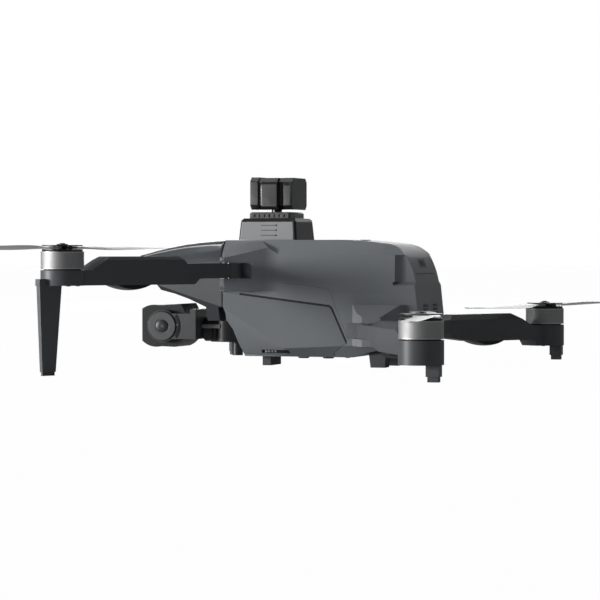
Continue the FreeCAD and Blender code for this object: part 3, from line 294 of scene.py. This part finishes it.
SIDES = {"left": 1, "right": -1}
shell_plastic = moulded("shell_plastic", grey(143, -4), 0.44)
panel_plastic = moulded("panel_plastic", grey(128, -4), 0.40)
dress(shell_plastic, "upper_shell", "lower_shell", "battery_case", "rear_hinge_housings")
dress(panel_plastic, "left_side_panel", "right_side_panel")
dress(moulded("nose_plastic", grey(44, -4), 0.5), "nose_frame")


# Small raised and turned pieces are rings of points that climb, soften at the rim and close.
def plate(name, outline, origin, u, v, thick, edge, material, body):
    """A thin raised piece on the plane of u and v at origin, in millimetres: its outline is lifted
    to thick less edge, then drawn in towards its middle by edge over the last stretch."""
    u, v = np.array(u, float), np.array(v, float)
    flat = np.asarray(outline, float)
    middle = flat.mean(0)
    reach = np.linalg.norm(flat - middle, axis=1, keepdims=True)
    rings = []
    rim = ((0, 0), (0, thick - edge), (0.3 * edge, thick - 0.3 * edge), (edge, thick))
    for shrink, height in rim:
        ring = middle + (flat - middle) * (1 - shrink / reach)
        rings.append(np.array(origin) + ring[:, :1] * u + ring[:, 1:] * v + height * np.cross(u, v))
    piece = sheet(name, np.stack(rings) * MM, material, around=True, cap=True)
    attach(piece, body)


def rounded(half_u, half_v, corner):
    """Outline of a rectangle whose corners are quarter circles."""
    turn = np.linspace(0, np.pi / 2, 6)
    points = []
    for quarter, (su, sv) in enumerate(((1, 1), (-1, 1), (-1, -1), (1, -1))):
        angle = turn + quarter * np.pi / 2
        points += list(zip(su * (half_u - corner) + corner * np.cos(angle),
                           sv * (half_v - corner) + corner * np.sin(angle)))
    return points


def turned(name, profile, centre, axis, material, body, teeth=0):
    """A turned piece: each (radius, height) of the profile, in millimetres, is a circle round the
    axis.  With teeth, the radius of the last two circles swings with the cosine of teeth turns."""
    axis = Vector(axis).normalized()
    u = axis.orthogonal().normalized()
    v = axis.cross(u)
    turn = np.linspace(0, 2 * np.pi, 48, endpoint=False)[:, None]
    circle = np.cos(turn) * np.array(u) + np.sin(turn) * np.array(v)
    rings = []
    for row, (radius, height) in enumerate(profile):
        lobes = 1 + 0.16 * np.cos(teeth * turn) if teeth and row >= len(profile) - 2 else 1
        rings.append(np.array(centre) + radius * lobes * circle + height * np.array(axis))
    piece = sheet(name, np.stack(rings) * MM, material, around=True, cap=True)
    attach(piece, body)


def screw(name, centre, axis, radius, body):
    """A low pan-head screw with a lobed socket; every measure is a share of its radius."""
    head = [(1, 0.12), (0.93, 0.26), (0.8, 0.32), (0.52, 0.32), (0.48, 0.28), (0.42, 0.0)]
    profile = [(radius, -0.2)] + [(r * radius, h * radius) for r, h in head]
    turned(name, profile, centre, axis, screw_steel, body, teeth=6)


def centre_of(node):
    """Middle, lowest and highest corner of a CAD node at rest, in millimetres."""
    low, high = (np.array(corner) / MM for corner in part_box(node))
    return (low + high) / 2, low, high


def turned_metal(name, colour, roughness, axis_scale=(0.05, 0.05, 1.0)):
    """Machined metal: fine lathe lines round its axis and faint smudges."""
    material = bpy.data.materials.new(name)
    material.use_nodes = True
    nodes, links = material.node_tree.nodes, material.node_tree.links
    skin = nodes["Principled BSDF"]
    skin.inputs["Metallic"].default_value = 1.0
    where = nodes.new("ShaderNodeTexCoord")
    stretch = nodes.new("ShaderNodeMapping")
    stretch.inputs["Scale"].default_value = axis_scale
    links.new(where.outputs["Object"], stretch.inputs["Vector"])
    lines = nodes.new("ShaderNodeTexNoise")
    lines.inputs["Scale"].default_value = 1 / (0.25 * MM)
    links.new(stretch.outputs["Vector"], lines.inputs["Vector"])
    smudge = nodes.new("ShaderNodeTexNoise")
    smudge.inputs["Scale"].default_value = 1 / (4 * MM)
    smudge.inputs["Detail"].default_value = 4
    links.new(where.outputs["Object"], smudge.inputs["Vector"])
    tint = nodes.new("ShaderNodeMix")
    tint.data_type = "RGBA"
    tint.inputs["A"].default_value = (*[c * 0.88 for c in colour[:3]], 1)
    tint.inputs["B"].default_value = (*colour[:3], 1)
    links.new(lines.outputs["Fac"], tint.inputs["Factor"])
    links.new(tint.outputs["Result"], skin.inputs["Base Color"])
    dull = nodes.new("ShaderNodeMapRange")
    dull.inputs["To Min"].default_value = roughness - 0.06
    dull.inputs["To Max"].default_value = roughness + 0.10
    links.new(smudge.outputs["Fac"], dull.inputs["Value"])
    links.new(dull.outputs["Result"], skin.inputs["Roughness"])
    bump = nodes.new("ShaderNodeBump")
    bump.inputs["Strength"].default_value = 0.35
    bump.inputs["Distance"].default_value = 0.008 * MM
    links.new(lines.outputs["Fac"], bump.inputs["Height"])
    links.new(bump.outputs["Normal"], skin.inputs["Normal"])
    return material


screw_steel = turned_metal("screw_steel", grey(120), 0.35, (1, 1, 1))
# Near-black grey; along the side panels' seams it is partly painted shade of the gap.
seam_dark = moulded("seam_dark", grey(26), 0.6, wear=0)
# A grey a little darker than the shell; on the tail slots it is painted shade for their recess.
vent_dark = moulded("vent_dark", grey(84, -2), 0.6, wear=0)
# A grey a little darker than the shell, for a line of painted shade.
shade_line_grey = moulded("shade_line_grey", grey(112, -4), 0.5, wear=0)
# A dark grey for plates of painted shade on the shoulders' front facets.
painted_shoulder_shade = moulded("painted_shoulder_shade", grey(70, -3), 0.45, wear=0.1)


# A dark gap line rims each side panel: a real seam, drawn as a dark band that is partly painted
# shade of the gap under the panel's edge.  A faint darker line of painted shade runs above and
# behind it, where the shell's shading changes.
def outermost(x, z, sign, nodes):
    """Distance from the middle plane to the nodes' outermost skin on one side, at side-view points
    (millimetres).  Where a point lies in a triangle seen from the side, the triangle's corner
    distances are weighed by the areas opposite its corners."""
    found = np.zeros(x.shape)
    x, z = x[..., None], z[..., None]
    for node in nodes:
        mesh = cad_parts[node].data
        mesh.calc_loop_triangles()
        spots = np.empty(3 * len(mesh.vertices), np.float32)
        mesh.vertices.foreach_get("co", spots)
        corners = np.empty(3 * len(mesh.loop_triangles), np.int32)
        mesh.loop_triangles.foreach_get("vertices", corners)
        triangles = spots.reshape(-1, 3)[corners].reshape(-1, 3, 3) / MM
        low, high = triangles.min(1), triangles.max(1)
        near = (low[:, 0] <= x.max()) & (high[:, 0] >= x.min()) & (sign * triangles[:, 0, 1] > 0)
        (ax, ay, az), (bx, by, bz), (cx, cy, cz) = triangles[near].transpose(1, 2, 0).astype(float)
        area = (bz - cz) * (ax - cx) + (cx - bx) * (az - cz)
        area = np.where(area == 0, np.nan, area)
        wa = ((bz - cz) * (x - cx) + (cx - bx) * (z - cz)) / area
        wb = ((cz - az) * (x - cx) + (ax - cx) * (z - cz)) / area
        wc = 1 - wa - wb
        inside = (wa >= 0) & (wb >= 0) & (wc >= 0)
        depth = np.where(inside, sign * (wa * ay + wb * by + wc * cy), 0)
        found = np.maximum(found, depth.max(-1))
    return found


def skin_line(name, points, width, side, material):
    """A band that lies on the shell along side-view points (x, z in millimetres): the path is cut
    into short steps, and each edge of the band is the path moved square to itself by half the
    width.  It keeps just outside the outermost skin within 0.6 mm above or below."""
    corners = np.array(points, float)
    along = np.concatenate([[0], np.cumsum(np.linalg.norm(np.diff(corners, axis=0), axis=1))])
    steps = np.unique(np.concatenate([np.arange(0, along[-1], 1.5), along]))
    path = np.stack([np.interp(steps, along, corners[:, axis]) for axis in (0, 1)], 1)
    ahead = np.gradient(path, axis=0)
    across = np.stack([-ahead[:, 1], ahead[:, 0]], 1) / np.linalg.norm(ahead, axis=1, keepdims=True)
    x, z = np.stack([path - across * width / 2, path + across * width / 2]).transpose(2, 0, 1)
    skins = ("upper_shell", "lower_shell", side + "_side_panel")
    sign = SIDES[side]
    y = np.max([outermost(x, z + reach, sign, skins) for reach in (-0.6, 0, 0.6)], axis=0) + 0.05
    edges = np.stack([x, sign * y, z], -1)[::-sign]
    band = sheet(name + "_" + side, edges * MM, material)
    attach(band, "airframe")


# A lit wall closes each front hinge slot, dark plates of painted shade end the fender where its
# front facet lies in shadow, and two screws close it from below.
def upright_plate(name, outline, foot, along, side, thick, edge, material):
    """A plate on an upright face of one side.  Its outline is in (run, height) from foot, where the
    run goes forwards or back along the given direction."""
    sign = SIDES[side]
    if sign > 0:
        outline = [(-run, height) for run, height in outline[::-1]]
    plate(name, outline, foot, along * -sign, UP, thick, edge, material, "airframe")


SEAM_PATH = [(38.5, 42.2), (-15.2, 35.65), (-16.6, 34.4), (-25.2, 15.5)]
SHADE_LINE_PATH = [(12, 48.5), (0.3, 47.6), (-14, 45.4), (-16.6, 42.6), (-18.4, 36), (-26.8, 16.5)]
SEAM_WIDTH, SHADE_LINE_WIDTH = 1.2, 0.3
SHADE_PLATE_FOOT, SHADE_PLATE_RUN = (47.2, 27.51), (3.3, -0.5)
SHADE_PLATE_REAR, SHADE_PLATE_FRONT = 0.1, 3.2
SHADE_PLATE_HEIGHTS = {"low": (44.3, 50.7), "high": (60.3, 63.2)}
SLOT_FOOT, SLOT_RUN = (36.9, 26.8, 51.2), (-12.1, 2.2)
SLOT_FACET = [(0, 0), (10.6, 0), (12.1, 8.6), (0, 8.6)]
FENDER_SCREWS, FENDER_SCREW_Y, FENDER_LOW = (31.0, 42.5), 29.6, 44.0
for side, sign in SIDES.items():
    # Painted shade: the seam band is dark partly for the real seam, partly for the shade in its gap.
    skin_line("panel_seam", SEAM_PATH, SEAM_WIDTH, side, seam_dark)
    # Painted shade: a faint darker line where the shell's shading changes.
    skin_line("panel_shade_line", SHADE_LINE_PATH, SHADE_LINE_WIDTH, side, shade_line_grey)
    face = np.array([SHADE_PLATE_RUN[0], SHADE_PLATE_RUN[1] * sign, 0]) / math.hypot(*SHADE_PLATE_RUN)
    # Painted shade: two thin dark plates lie on the facet in front of each hinge, where shadow
    # falls.
    for part, (low, high) in SHADE_PLATE_HEIGHTS.items():
        strip = [(SHADE_PLATE_REAR, 0), (SHADE_PLATE_FRONT, 0), (SHADE_PLATE_FRONT, high - low), (SHADE_PLATE_REAR, high - low)]
        upright_plate("shoulder_trim_%s_%s" % (part, side), strip,
                      (SHADE_PLATE_FOOT[0], sign * SHADE_PLATE_FOOT[1], low), face, side, 0.12, 0.05, painted_shoulder_shade)
    slope = np.array([SLOT_RUN[0], SLOT_RUN[1] * sign, 0]) / math.hypot(*SLOT_RUN)
    upright_plate("slot_wall_" + side, SLOT_FACET, (SLOT_FOOT[0], sign * SLOT_FOOT[1], SLOT_FOOT[2]),
                  slope, side, 0.5, 0.1, shell_plastic)
    for number, x in enumerate(FENDER_SCREWS):
        screw("shoulder_screw_%s_%d" % (side, number), (x, sign * FENDER_SCREW_Y, FENDER_LOW), DOWN,
              1.3, "airframe")


# ---------------------------------------------------------------- hood
# Glossy moulded hood between the front shoulders: a shallow crown that rolls over into the sides
# and droops to a rounded nose, drawn as one smooth skin so that it carries long soft streaks.
HOOD_REAR, HOOD_LENGTH, HOOD_FRONT, HOOD_FOOT = 49.0, 57.0, 105.95, 58.1
RIDGE_X = (49, 57.8, 66.7, 75.5, 84.3, 93.2, 102)
RIDGE_Z = (72.8, 72.4, 71.6, 70.6, 69.0, 67.1, 64.8)
LIP_X, LIP_Z, LIP_LENGTH, LIP_DROP = 102, 60.8, 3.95, 4
CREASE_DEPTH, CREASE_PLACE, CREASE_WIDTH = 0.45, 0.52, 1.5
SOFT_REACH = 8
hood_gloss = moulded("hood_gloss", grey(88, -3), 0.12, grain=0.8, depth=0.0015, coat=1.0, wear=0.05)


def hood_station(x, top):
    """Half of the hood's section at x, from the ridge down to its lower edge.  Straight runs over
    the crown, down to the wall and down the wall are cut into 60 equal steps, and each point moves
    to the raised-cosine mean of itself and eight neighbours on either hand.  A bell curve taken
    off the height makes the lengthwise crease, and all measures taper evenly towards the nose."""
    t = (x - HOOD_REAR) / HOOD_LENGTH
    crown_y, crown_z = 20.5 - 9.5 * t, 73.0 - 4.2 * t
    wall_y, wall_z = 27.0 - 8.0 * t, 65.0 - 7.2 * t
    meet_y = wall_y + (crown_y - wall_y) * np.clip((top - wall_z) / (crown_z - wall_z), 0, 1)
    corners = np.array([(0, top), (meet_y, min(top, crown_z)), (wall_y, min(wall_z, top)),
                        (wall_y - 0.15, min(HOOD_FOOT, top))])
    run = np.concatenate([[0], np.cumsum(np.linalg.norm(np.diff(corners, axis=0), axis=1))])
    along = np.linspace(0, run[-1], 61)
    y, z = np.interp(along, run, corners[:, 0]), np.interp(along, run, corners[:, 1])
    soft = np.hanning(2 * SOFT_REACH + 1)
    soft = soft / soft.sum()
    past_end = slice(-2, -2 - SOFT_REACH, -1)
    y_wide = np.concatenate([-y[SOFT_REACH:0:-1], y, 2 * y[-1] - y[past_end]])
    z_wide = np.concatenate([z[SOFT_REACH:0:-1], z, 2 * z[-1] - z[past_end]])
    y, z = np.convolve(y_wide, soft, "valid"), np.convolve(z_wide, soft, "valid")
    crease = CREASE_DEPTH * np.exp(-((y - CREASE_PLACE * crown_y) / CREASE_WIDTH) ** 2)
    return y, z - crease * min(1, 4 * t + 0.1)


droop = np.linspace(0, math.pi / 2, 10)
stations = [(x, np.interp(x, RIDGE_X, RIDGE_Z)) for x in np.linspace(49.6, 101.5, 40)]
stations += list(zip(LIP_X + LIP_LENGTH * np.sin(droop), LIP_Z + LIP_DROP * np.cos(droop)))
stations += [(HOOD_FRONT, 59.4), (HOOD_FRONT, HOOD_FOOT)]
hood_rows = []
for x, top in stations:
    y, z = hood_station(x, top)
    half = np.stack([np.full_like(y, x), y, z], -1)
    hood_rows.append(np.concatenate([half[::-1] * (1, -1, 1), half[1:]]))
hood = sheet("hood_skin", np.stack(hood_rows)[:, ::-1] * MM, hood_gloss)
hood_wall = hood.modifiers.new("wall", "SOLIDIFY")
hood_wall.thickness = 1.4 * MM
hood_wall.offset = -1
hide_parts("nose_cover")
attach(hood, "airframe")


# ---------------------------------------------------------------- nose windows
# Round forward sensors in the nose wall, each a domed coated-glass window pressed into a thin
# black ring.
glass = moulded("coated_glass", (0.012, 0.014, 0.022, 1), 0.06, grain=1.5, depth=0.0004, coat=1.0,
                wear=0)
gloss_black = moulded("gloss_black", grey(24), 0.22, depth=0.002, coat=0.4, wear=0.05)
dress(glass, "nose_sensors", "turret_lenses", "camera_lens")


def window(name, centre, axis, radius, body):
    """A domed glass window in a stepped black ring.  The dome's profile is a quarter ellipse: the
    radius times a cosine, and 0.16 of the radius times a sine."""
    ring = [(0.5, -0.3), (0.5, 0.25), (0.35, 0.4), (0, 0.4), (-0.2, 0.1)]
    turned(name + "_ring", [(radius + out, high) for out, high in ring], centre, axis, gloss_black,
           body)
    rise = np.linspace(0, 1.45, 9)
    dome = list(zip(radius * np.cos(rise), 0.05 + 0.16 * radius * np.sin(rise)))
    turned(name + "_glass", dome, centre, axis, glass, body)


NOSE_EYE = (105.5, 9.5, 53.8)
NOSE_EYE_RADIUS = 3.0
for side, sign in SIDES.items():
    x, out, z = NOSE_EYE
    window("nose_eye_" + side, (x, sign * out, z), AHEAD, NOSE_EYE_RADIUS, "airframe")


# ---------------------------------------------------------------- battery and tail
# The battery's own cap forms the rear of the crown: a ringed power button with four charge lamps
# round it and a ribbed release tab.  The tail has three short cooling slots on each side, drawn as
# flat plates a little darker than the shell: painted shade standing for their recess.
CHARGE_RADIUS, CHARGE_FIRST, CHARGE_STEP = 7.2, -54, 36
RIB_FIRST, RIB_STEP, RIB_LEAN = 0.9, 0.95, 0.38
VENT_Y, VENT_LOW, VENT_STEP = 10.0, 31.4, 2.3
TAIL_PROUD = 0.12
dress(moulded("latch_plastic", grey(124, -3), 0.42), "battery_latch")
dress(moulded("button_plastic", grey(58), 0.35), "power_button")
dress(moulded("cell_film", (0.10, 0.16, 0.30, 1), 0.3, grain=2.0, depth=0.05, coat=0.3, wear=0),
      "battery_cells")
lamp_white = moulded("lamp_white", grey(205), 0.3, depth=0.001, coat=0.4, wear=0)
button, _, button_high = centre_of("power_button")
turned("button_ring", [(3.1, -0.15), (3.1, 0.12), (2.95, 0.2), (2.55, 0.2), (2.4, 0.02)],
       (button[0], 0, button_high[2] - 0.02), UP, seam_dark, "power_button")
for number in range(4):
    angle = math.radians(CHARGE_FIRST + CHARGE_STEP * number)
    spot = (button[0] + CHARGE_RADIUS * math.cos(angle), CHARGE_RADIUS * math.sin(angle),
            button_high[2] - 0.05)
    turned("charge_lamp_%d" % number, [(0.62, -0.3), (0.62, 0.0), (0.5, 0.1), (0.2, 0.14)], spot,
           UP, lamp_white, "battery")
latch_low = centre_of("battery_latch")[1]
for row in range(4):
    climb = RIB_FIRST + row * RIB_STEP
    spot = (latch_low[0] + climb * RIB_LEAN + TAIL_PROUD, 0, latch_low[2] + climb)
    plate("latch_rib_%d" % row, rounded(5.2, 0.22, 0.2), spot, RIGHT, UP, 0.35, 0.12, vent_dark,
          "battery_latch")
tail_x = centre_of("lower_shell")[1][0]
# Painted shade: each tail slot is a flat darker plate where the real slot is a recess.
for row in range(3):
    for side in ("right", "left"):
        spot = (tail_x + TAIL_PROUD, SIDES[side] * VENT_Y, VENT_LOW + row * VENT_STEP)
        plate("tail_vent_%d_%s" % (row, side), rounded(4.6, 0.65, 0.6), spot, RIGHT, UP, 0.14, 0.05,
              vent_dark, "airframe")


# ---------------------------------------------------------------- side and belly details
# A memory card slot with pale metal contacts low on each side, the downward sensor's two windows,
# belly screws and a row of cooling slits between the rubber feet.
def side_plate(name, outline, spot, side, thick, edge, material, body):
    """A plate on one flank.  Its spot is (x, distance from the middle plane, z)."""
    sign = SIDES[side]
    x, out, z = spot
    plate(name, outline, (x, sign * out, z), (-sign, 0, 0), UP, thick, edge, material, body)


CARD_X, CARD_WALL, CARD_Z = 18.55, 18.6, 9.4
CONTACT_FIRST, CONTACT_STEP, CONTACT_WALL = 19.5, 1.9, 18.8
BELLY_EYES, BELLY_EYE_Z, BELLY_EYE_RADIUS = (-6.0, 9.0), 5.4, 2.5
BELLY_SCREWS, BELLY_Z = ((-22, 14), (-22, -14), (22, 14), (22, -14)), 6.5
SLIT_FIRST, SLIT_STEP = -24.0, 2.2
contact_metal = turned_metal("contact_metal", grey(225), 0.3, (1, 1, 1))
dress(moulded("belly_black", grey(30), 0.3, coat=0.3), "belly_sensor")
dress(moulded("feet_rubber", grey(92, -2), 0.6, grain=0.5, depth=0.02, specular=0.3), "belly_feet")
for side in SIDES:
    side_plate("card_mouth_" + side, rounded(8.7, 0.95, 0.2), (CARD_X, CARD_WALL, CARD_Z), side,
               0.2, 0.05, seam_dark, "airframe")
    for number in range(4):
        spot = (CONTACT_FIRST + number * CONTACT_STEP, CONTACT_WALL, CARD_Z)
        side_plate("card_contact_%s_%d" % (side, number), rounded(0.4, 0.5, 0.1), spot, side,
                   0.3, 0.06, contact_metal, "airframe")
for number, x in enumerate(BELLY_EYES):
    window("belly_eye_%d" % number, (x, 0, BELLY_EYE_Z), DOWN, BELLY_EYE_RADIUS, "airframe")
for number, (x, y) in enumerate(BELLY_SCREWS):
    screw("belly_screw_%d" % number, (x, y, BELLY_Z), DOWN, 1.4, "airframe")
for number in range(5):
    spot = (SLIT_FIRST + SLIT_STEP * number, 0, BELLY_Z - 0.01)
    plate("belly_slit_%d" % number, rounded(4.0, 0.5, 0.45), spot, LEFT, AHEAD, 0.12, 0.04,
          seam_dark, "airframe")
dress(moulded("board_lacquer", (0.015, 0.10, 0.05, 1), 0.35, coat=0.4), "main_board")


# ---------------------------------------------------------------- arms, legs and hinges
# Dark satin moulded arms with a smoked lamp let in below each, blade-like front legs and short
# rear feet on rubber pads, and steel hinge pins that show as caps below each hinge.
CORNERS = [end + "_" + side for end in ("front", "rear") for side in SIDES]
HINGE_X, HINGE_Y = {"front": 42.0, "rear": -40.0}, 33.0
HINGE_LOW, POD_LOW = {"front": 44.0, "rear": 13.4}, {"front": 48.1, "rear": 8.8}
HEADING = {"front": 59.8, "rear": 120.0}
POD_SCREWS = {"rear": ((-6.5, -5.0), (-6.5, 5.0)),
              "front": ((-6.5, -5.0), (-6.5, 5.0), (1.5, -7.6), (1.5, 7.6))}
ARM_REACH, LEG_SET_OUT, SOLE_SET_OUT = 116.5, 8.75, 0.95
SOLE_TOP, SOLE_THICK = 0.9, 0.9
arm_plastic = moulded("arm_plastic", grey(90, -3), 0.42)
leg_plastic = moulded("leg_plastic", grey(95, -3), 0.42)
sole_rubber = moulded("sole_rubber", grey(48, -1), 0.7, grain=0.5, depth=0.03, specular=0.25,
                      wear=0.1)
lamp_smoke = moulded("lamp_smoke", grey(26), 0.32, depth=0.001, specular=0.3, coat=0.15, wear=0)
dress(arm_plastic, *[corner + "_arm" for corner in CORNERS])
dress(leg_plastic, *[corner + "_leg" for corner in CORNERS])
dress(lamp_smoke, *[corner + "_arm_lamp" for corner in CORNERS])
dress(turned_metal("pin_steel", grey(170), 0.3), "hinge_pins")
for corner in CORNERS:
    end, side = corner.split("_")
    sign = SIDES[side]
    body = corner + "_arm"
    heading = math.radians(HEADING[end])
    along = np.array([math.cos(heading), sign * math.sin(heading), 0])
    across = np.array([-math.sin(heading), sign * math.cos(heading), 0])
    hinge = np.array([HINGE_X[end], sign * HINGE_Y])
    pod = centre_of(corner + "_motor_bell")[0][:2]
    for number, (a, b) in enumerate(POD_SCREWS[end]):
        screw("%s_pod_screw_%d" % (corner, number),
              (*(pod + a * along[:2] + b * across[:2]), POD_LOW[end]), DOWN, 1.15, body)
    if end == "front":
        sole, u, v = rounded(3.9, 0.78, 0.5), along, -sign * across
        spot = hinge + (ARM_REACH + LEG_SET_OUT + SOLE_SET_OUT) * along[:2]
    else:
        sole, u, v = rounded(2.6, 1.8, 0.7), AHEAD, RIGHT
        spot = centre_of(corner + "_leg")[0][:2]
    plate(corner + "_sole", sole, (*spot, SOLE_TOP), u, v, SOLE_THICK, 0.3, sole_rubber, body)
    turned(corner + "_pin_cap", [(3.0, -0.2), (3.0, 0.15), (2.8, 0.3), (1.6, 0.3), (1.4, 0.12)],
           (*hinge, HINGE_LOW[end]), DOWN, screw_steel, "airframe")


# ---------------------------------------------------------------- motors and propellers
# Satin turned bells with bright chamfers above lacquered windings, thin black hubs over them and
# pale grey moulded blades.
RIM_LOW = [(11.45, 0.0), (11.66, 0.05), (11.72, 0.3), (11.66, 0.55), (11.45, 0.62)]
RIM_HIGH = [(11.45, 0.0), (11.66, 0.07), (11.72, 0.32), (11.66, 0.57), (11.45, 0.62)]
HUB_SKIRT = [(10.4, 0.02), (10.9, 0.1), (10.95, 0.5), (10.8, 0.68), (5.2, 0.69)]
bell_metal = turned_metal("bell_metal", grey(180), 0.60)
rim_metal = turned_metal("rim_metal", grey(205), 0.45)
lacquered_copper = turned_metal("lacquered_copper", (0.035, 0.02, 0.013, 1), 0.5)
hub_plastic = moulded("hub_plastic", grey(38), 0.38)
blade_plastic = moulded("blade_plastic", grey(204), 0.34, grain=0.4, depth=0.006, edge=0.12,
                        wear=0.15)
for corner in CORNERS:
    dress(bell_metal, corner + "_motor_bell")
    dress(lacquered_copper, corner + "_motor_stator")
    dress(hub_plastic, corner + "_prop_hub")
    dress(blade_plastic, corner + "_blade_outer", corner + "_blade_inner")
    (x, y, _), bell_low, bell_high = centre_of(corner + "_motor_bell")
    body = corner + "_rotor"
    turned(corner + "_bell_rim_low", RIM_LOW, (x, y, bell_low[2] + 0.25), UP, rim_metal, body)
    turned(corner + "_bell_rim_high", RIM_HIGH, (x, y, bell_high[2]), DOWN, rim_metal, body)
    (x, y, _), _, hub_high = centre_of(corner + "_prop_hub")
    turned(corner + "_hub_skirt", HUB_SKIRT, (x, y, bell_high[2]), UP, hub_plastic, body)
    screw(corner + "_hub_screw", (x, y, hub_high[2] - 0.02), UP, 1.5, body)


# ---------------------------------------------------------------- gimbal and camera
# Black yaw arm with a pale link bar, a satin grey fork with the pitch motor's ringed cover, and a
# black camera whose face carries a stepped lens surround and a domed front glass.
LINK_SPOT = (63.2, 7.0, 23.0)
PITCH_X, FORK_Y, PITCH_Z = 90.1, 16.4, 23.1
SHADE_OUT, SHADE_IN, SHADE_HALF_TURN = 11.4, 8.9, 0.66
CAMERA_FACE, LENS_Z = 104.3, 23.1
CAMERA_SCREWS = ((9, 31), (-9, 31), (9, 16), (-9, 16))
gimbal_black = moulded("gimbal_black", grey(44), 0.38)
dress(gimbal_black, "gimbal_yaw_arm", "camera_housing")
dress(moulded("damper_rubber", grey(34), 0.7, specular=0.25), "gimbal_dampers")
dress(turned_metal("gimbal_metal", grey(130), 0.4, (1, 1, 1)), "gimbal_plate")
dress(moulded("fork_grey", grey(84, -2), 0.36), "gimbal_roll_arm")
link_grey = moulded("link_grey", grey(150, -2), 0.36)
for side in SIDES:
    side_plate("gimbal_link_" + side, rounded(5.8, 1.2, 0.6), LINK_SPOT, side, 1.3, 0.4, link_grey,
               "gimbal_yaw")
pitch_axis = (PITCH_X, FORK_Y, PITCH_Z)
turned("pitch_cover_groove", [(8.95, -0.1), (8.95, 0.08), (8.85, 0.14), (8.45, 0.14)],
       pitch_axis, LEFT, seam_dark, "gimbal_roll")
# The crescent behind the cover is painted shadow: a black plate on the fork where the cover's
# shadow falls, between two arcs round the pitch axis.
sweep = np.linspace(-SHADE_HALF_TURN, SHADE_HALF_TURN, 14)
crescent = [(SHADE_OUT * math.cos(a), SHADE_OUT * math.sin(a)) for a in sweep]
crescent += [(SHADE_IN * math.cos(a), SHADE_IN * math.sin(a)) for a in sweep[::-1]]
plate("pitch_cover_shadow", crescent, (PITCH_X, FORK_Y - 0.02, PITCH_Z), (-1, 0, 0), UP, 0.1, 0.03,
      gimbal_black, "gimbal_roll")
disc_grey = moulded("disc_grey", grey(98, -2), 0.34)
turned("pitch_cover", [(8.3, 0.0), (8.3, 0.58), (8.1, 0.78), (4.4, 0.84), (4.2, 0.66)],
       pitch_axis, LEFT, disc_grey, "gimbal_roll")
turned("pitch_cap", [(3.7, 0.5), (3.7, 0.98), (3.5, 1.12), (1.2, 1.16), (1.0, 0.9)],
       pitch_axis, LEFT, gimbal_black, "gimbal_roll")
lens_front = (centre_of("camera_lens")[2][0], 0, LENS_Z)
plate("camera_bezel", rounded(10.6, 9.4, 2.2), (CAMERA_FACE, 0, 23.6), LEFT, UP, 0.45, 0.3,
      gloss_black, "camera")
turned("lens_surround", [(8.6, 0.3), (8.6, 0.75), (8.4, 0.95), (7.2, 0.95), (7.0, 0.5)],
       (CAMERA_FACE, 0, LENS_Z), AHEAD, gimbal_black, "camera")
turned("lens_baffle", [(5.9, -1.2), (5.3, -1.2), (5.2, -1.0), (4.7, -1.0), (4.6, -1.3)],
       lens_front, AHEAD, seam_dark, "camera")
dome = [(4.7 * math.cos(a), -1.4 + 1.1 * math.sin(a)) for a in np.linspace(0, 1.5, 12)]
turned("lens_glass", dome, lens_front, AHEAD, glass, "camera")
for number, (y, z) in enumerate(CAMERA_SCREWS):
    screw("camera_screw_%d" % number, (CAMERA_FACE + 0.4, y, z), AHEAD, 0.8, "camera")


# ---------------------------------------------------------------- turret
# Black plinth with light side plates, a slotted square collar and a black two-part head whose
# sides carry a light panel; its front holds two round windows.
PLINTH_FOOT, PLINTH_HEIGHT, PLINTH_HALF, PLINTH_LEAN = 73.0, 10.3, 17.5, 0.9
LINE_X, DOT_X, LINE_ROWS = 24.8, 19.9, (81.3, 78.5, 75.6)
TURRET_EYE, TURRET_EYE_RADIUS = (36.75, 6.0, 99.6), 4.0
PLINTH_SCREWS, PLINTH_SCREW_Y, PLINTH_SCREW_Z = (9.8, 41.0), 15.0, 84.2
dress(moulded("turret_black", grey(44), 0.34, coat=0.3), "turret_base")
dress(moulded("head_black", grey(36), 0.3, depth=0.004, coat=0.3), "turret_head")
head_side = moulded("head_side", grey(108), 0.26, depth=0.004, coat=0.4)
dress(moulded("ring_grey", grey(112), 0.34), "turret_ring")
dress(moulded("plate_grey", grey(176, -2), 0.36, wear=0.1), "turret_side_plates")
for side, sign in SIDES.items():
    for row, z in enumerate(LINE_ROWS):
        wall = PLINTH_HALF - (z - PLINTH_FOOT) / PLINTH_HEIGHT * PLINTH_LEAN + 0.01
        side_plate("plinth_line_%s_%d" % (side, row), rounded(4.4, 0.16, 0.14), (LINE_X, wall, z),
                   side, 0.05, 0.02, seam_dark, "airframe")
        turned("plinth_dot_%s_%d" % (side, row), [(0.5, 0.0), (0.5, 0.05), (0.42, 0.07)],
               (DOT_X, sign * wall, z), (0, sign, 0), seam_dark, "airframe")
    side_plate("head_panel_" + side, rounded(4.75, 6.3, 0.8), (25.7, 13.0, 98.45), side, 0.28, 0.15,
               head_side, "turret")
    side_plate("head_bezel_side_" + side, rounded(2.25, 6.6, 0.9), (34.65, 13.0, 99.6), side, 0.2,
               0.12, head_side, "turret")
    side_plate("head_facet_" + side, rounded(1.9, 5.6, 0.5), (15.1, 12.4, 98.4), side, 0.2, 0.12,
               head_side, "turret")
    x, out, z = TURRET_EYE
    window("turret_eye_" + side, (x, sign * out, z), AHEAD, TURRET_EYE_RADIUS, "turret")
    for number, x in enumerate(PLINTH_SCREWS):
        screw("plinth_screw_%s_%d" % (side, number), (x, sign * PLINTH_SCREW_Y, PLINTH_SCREW_Z), UP,
              0.9, "airframe")
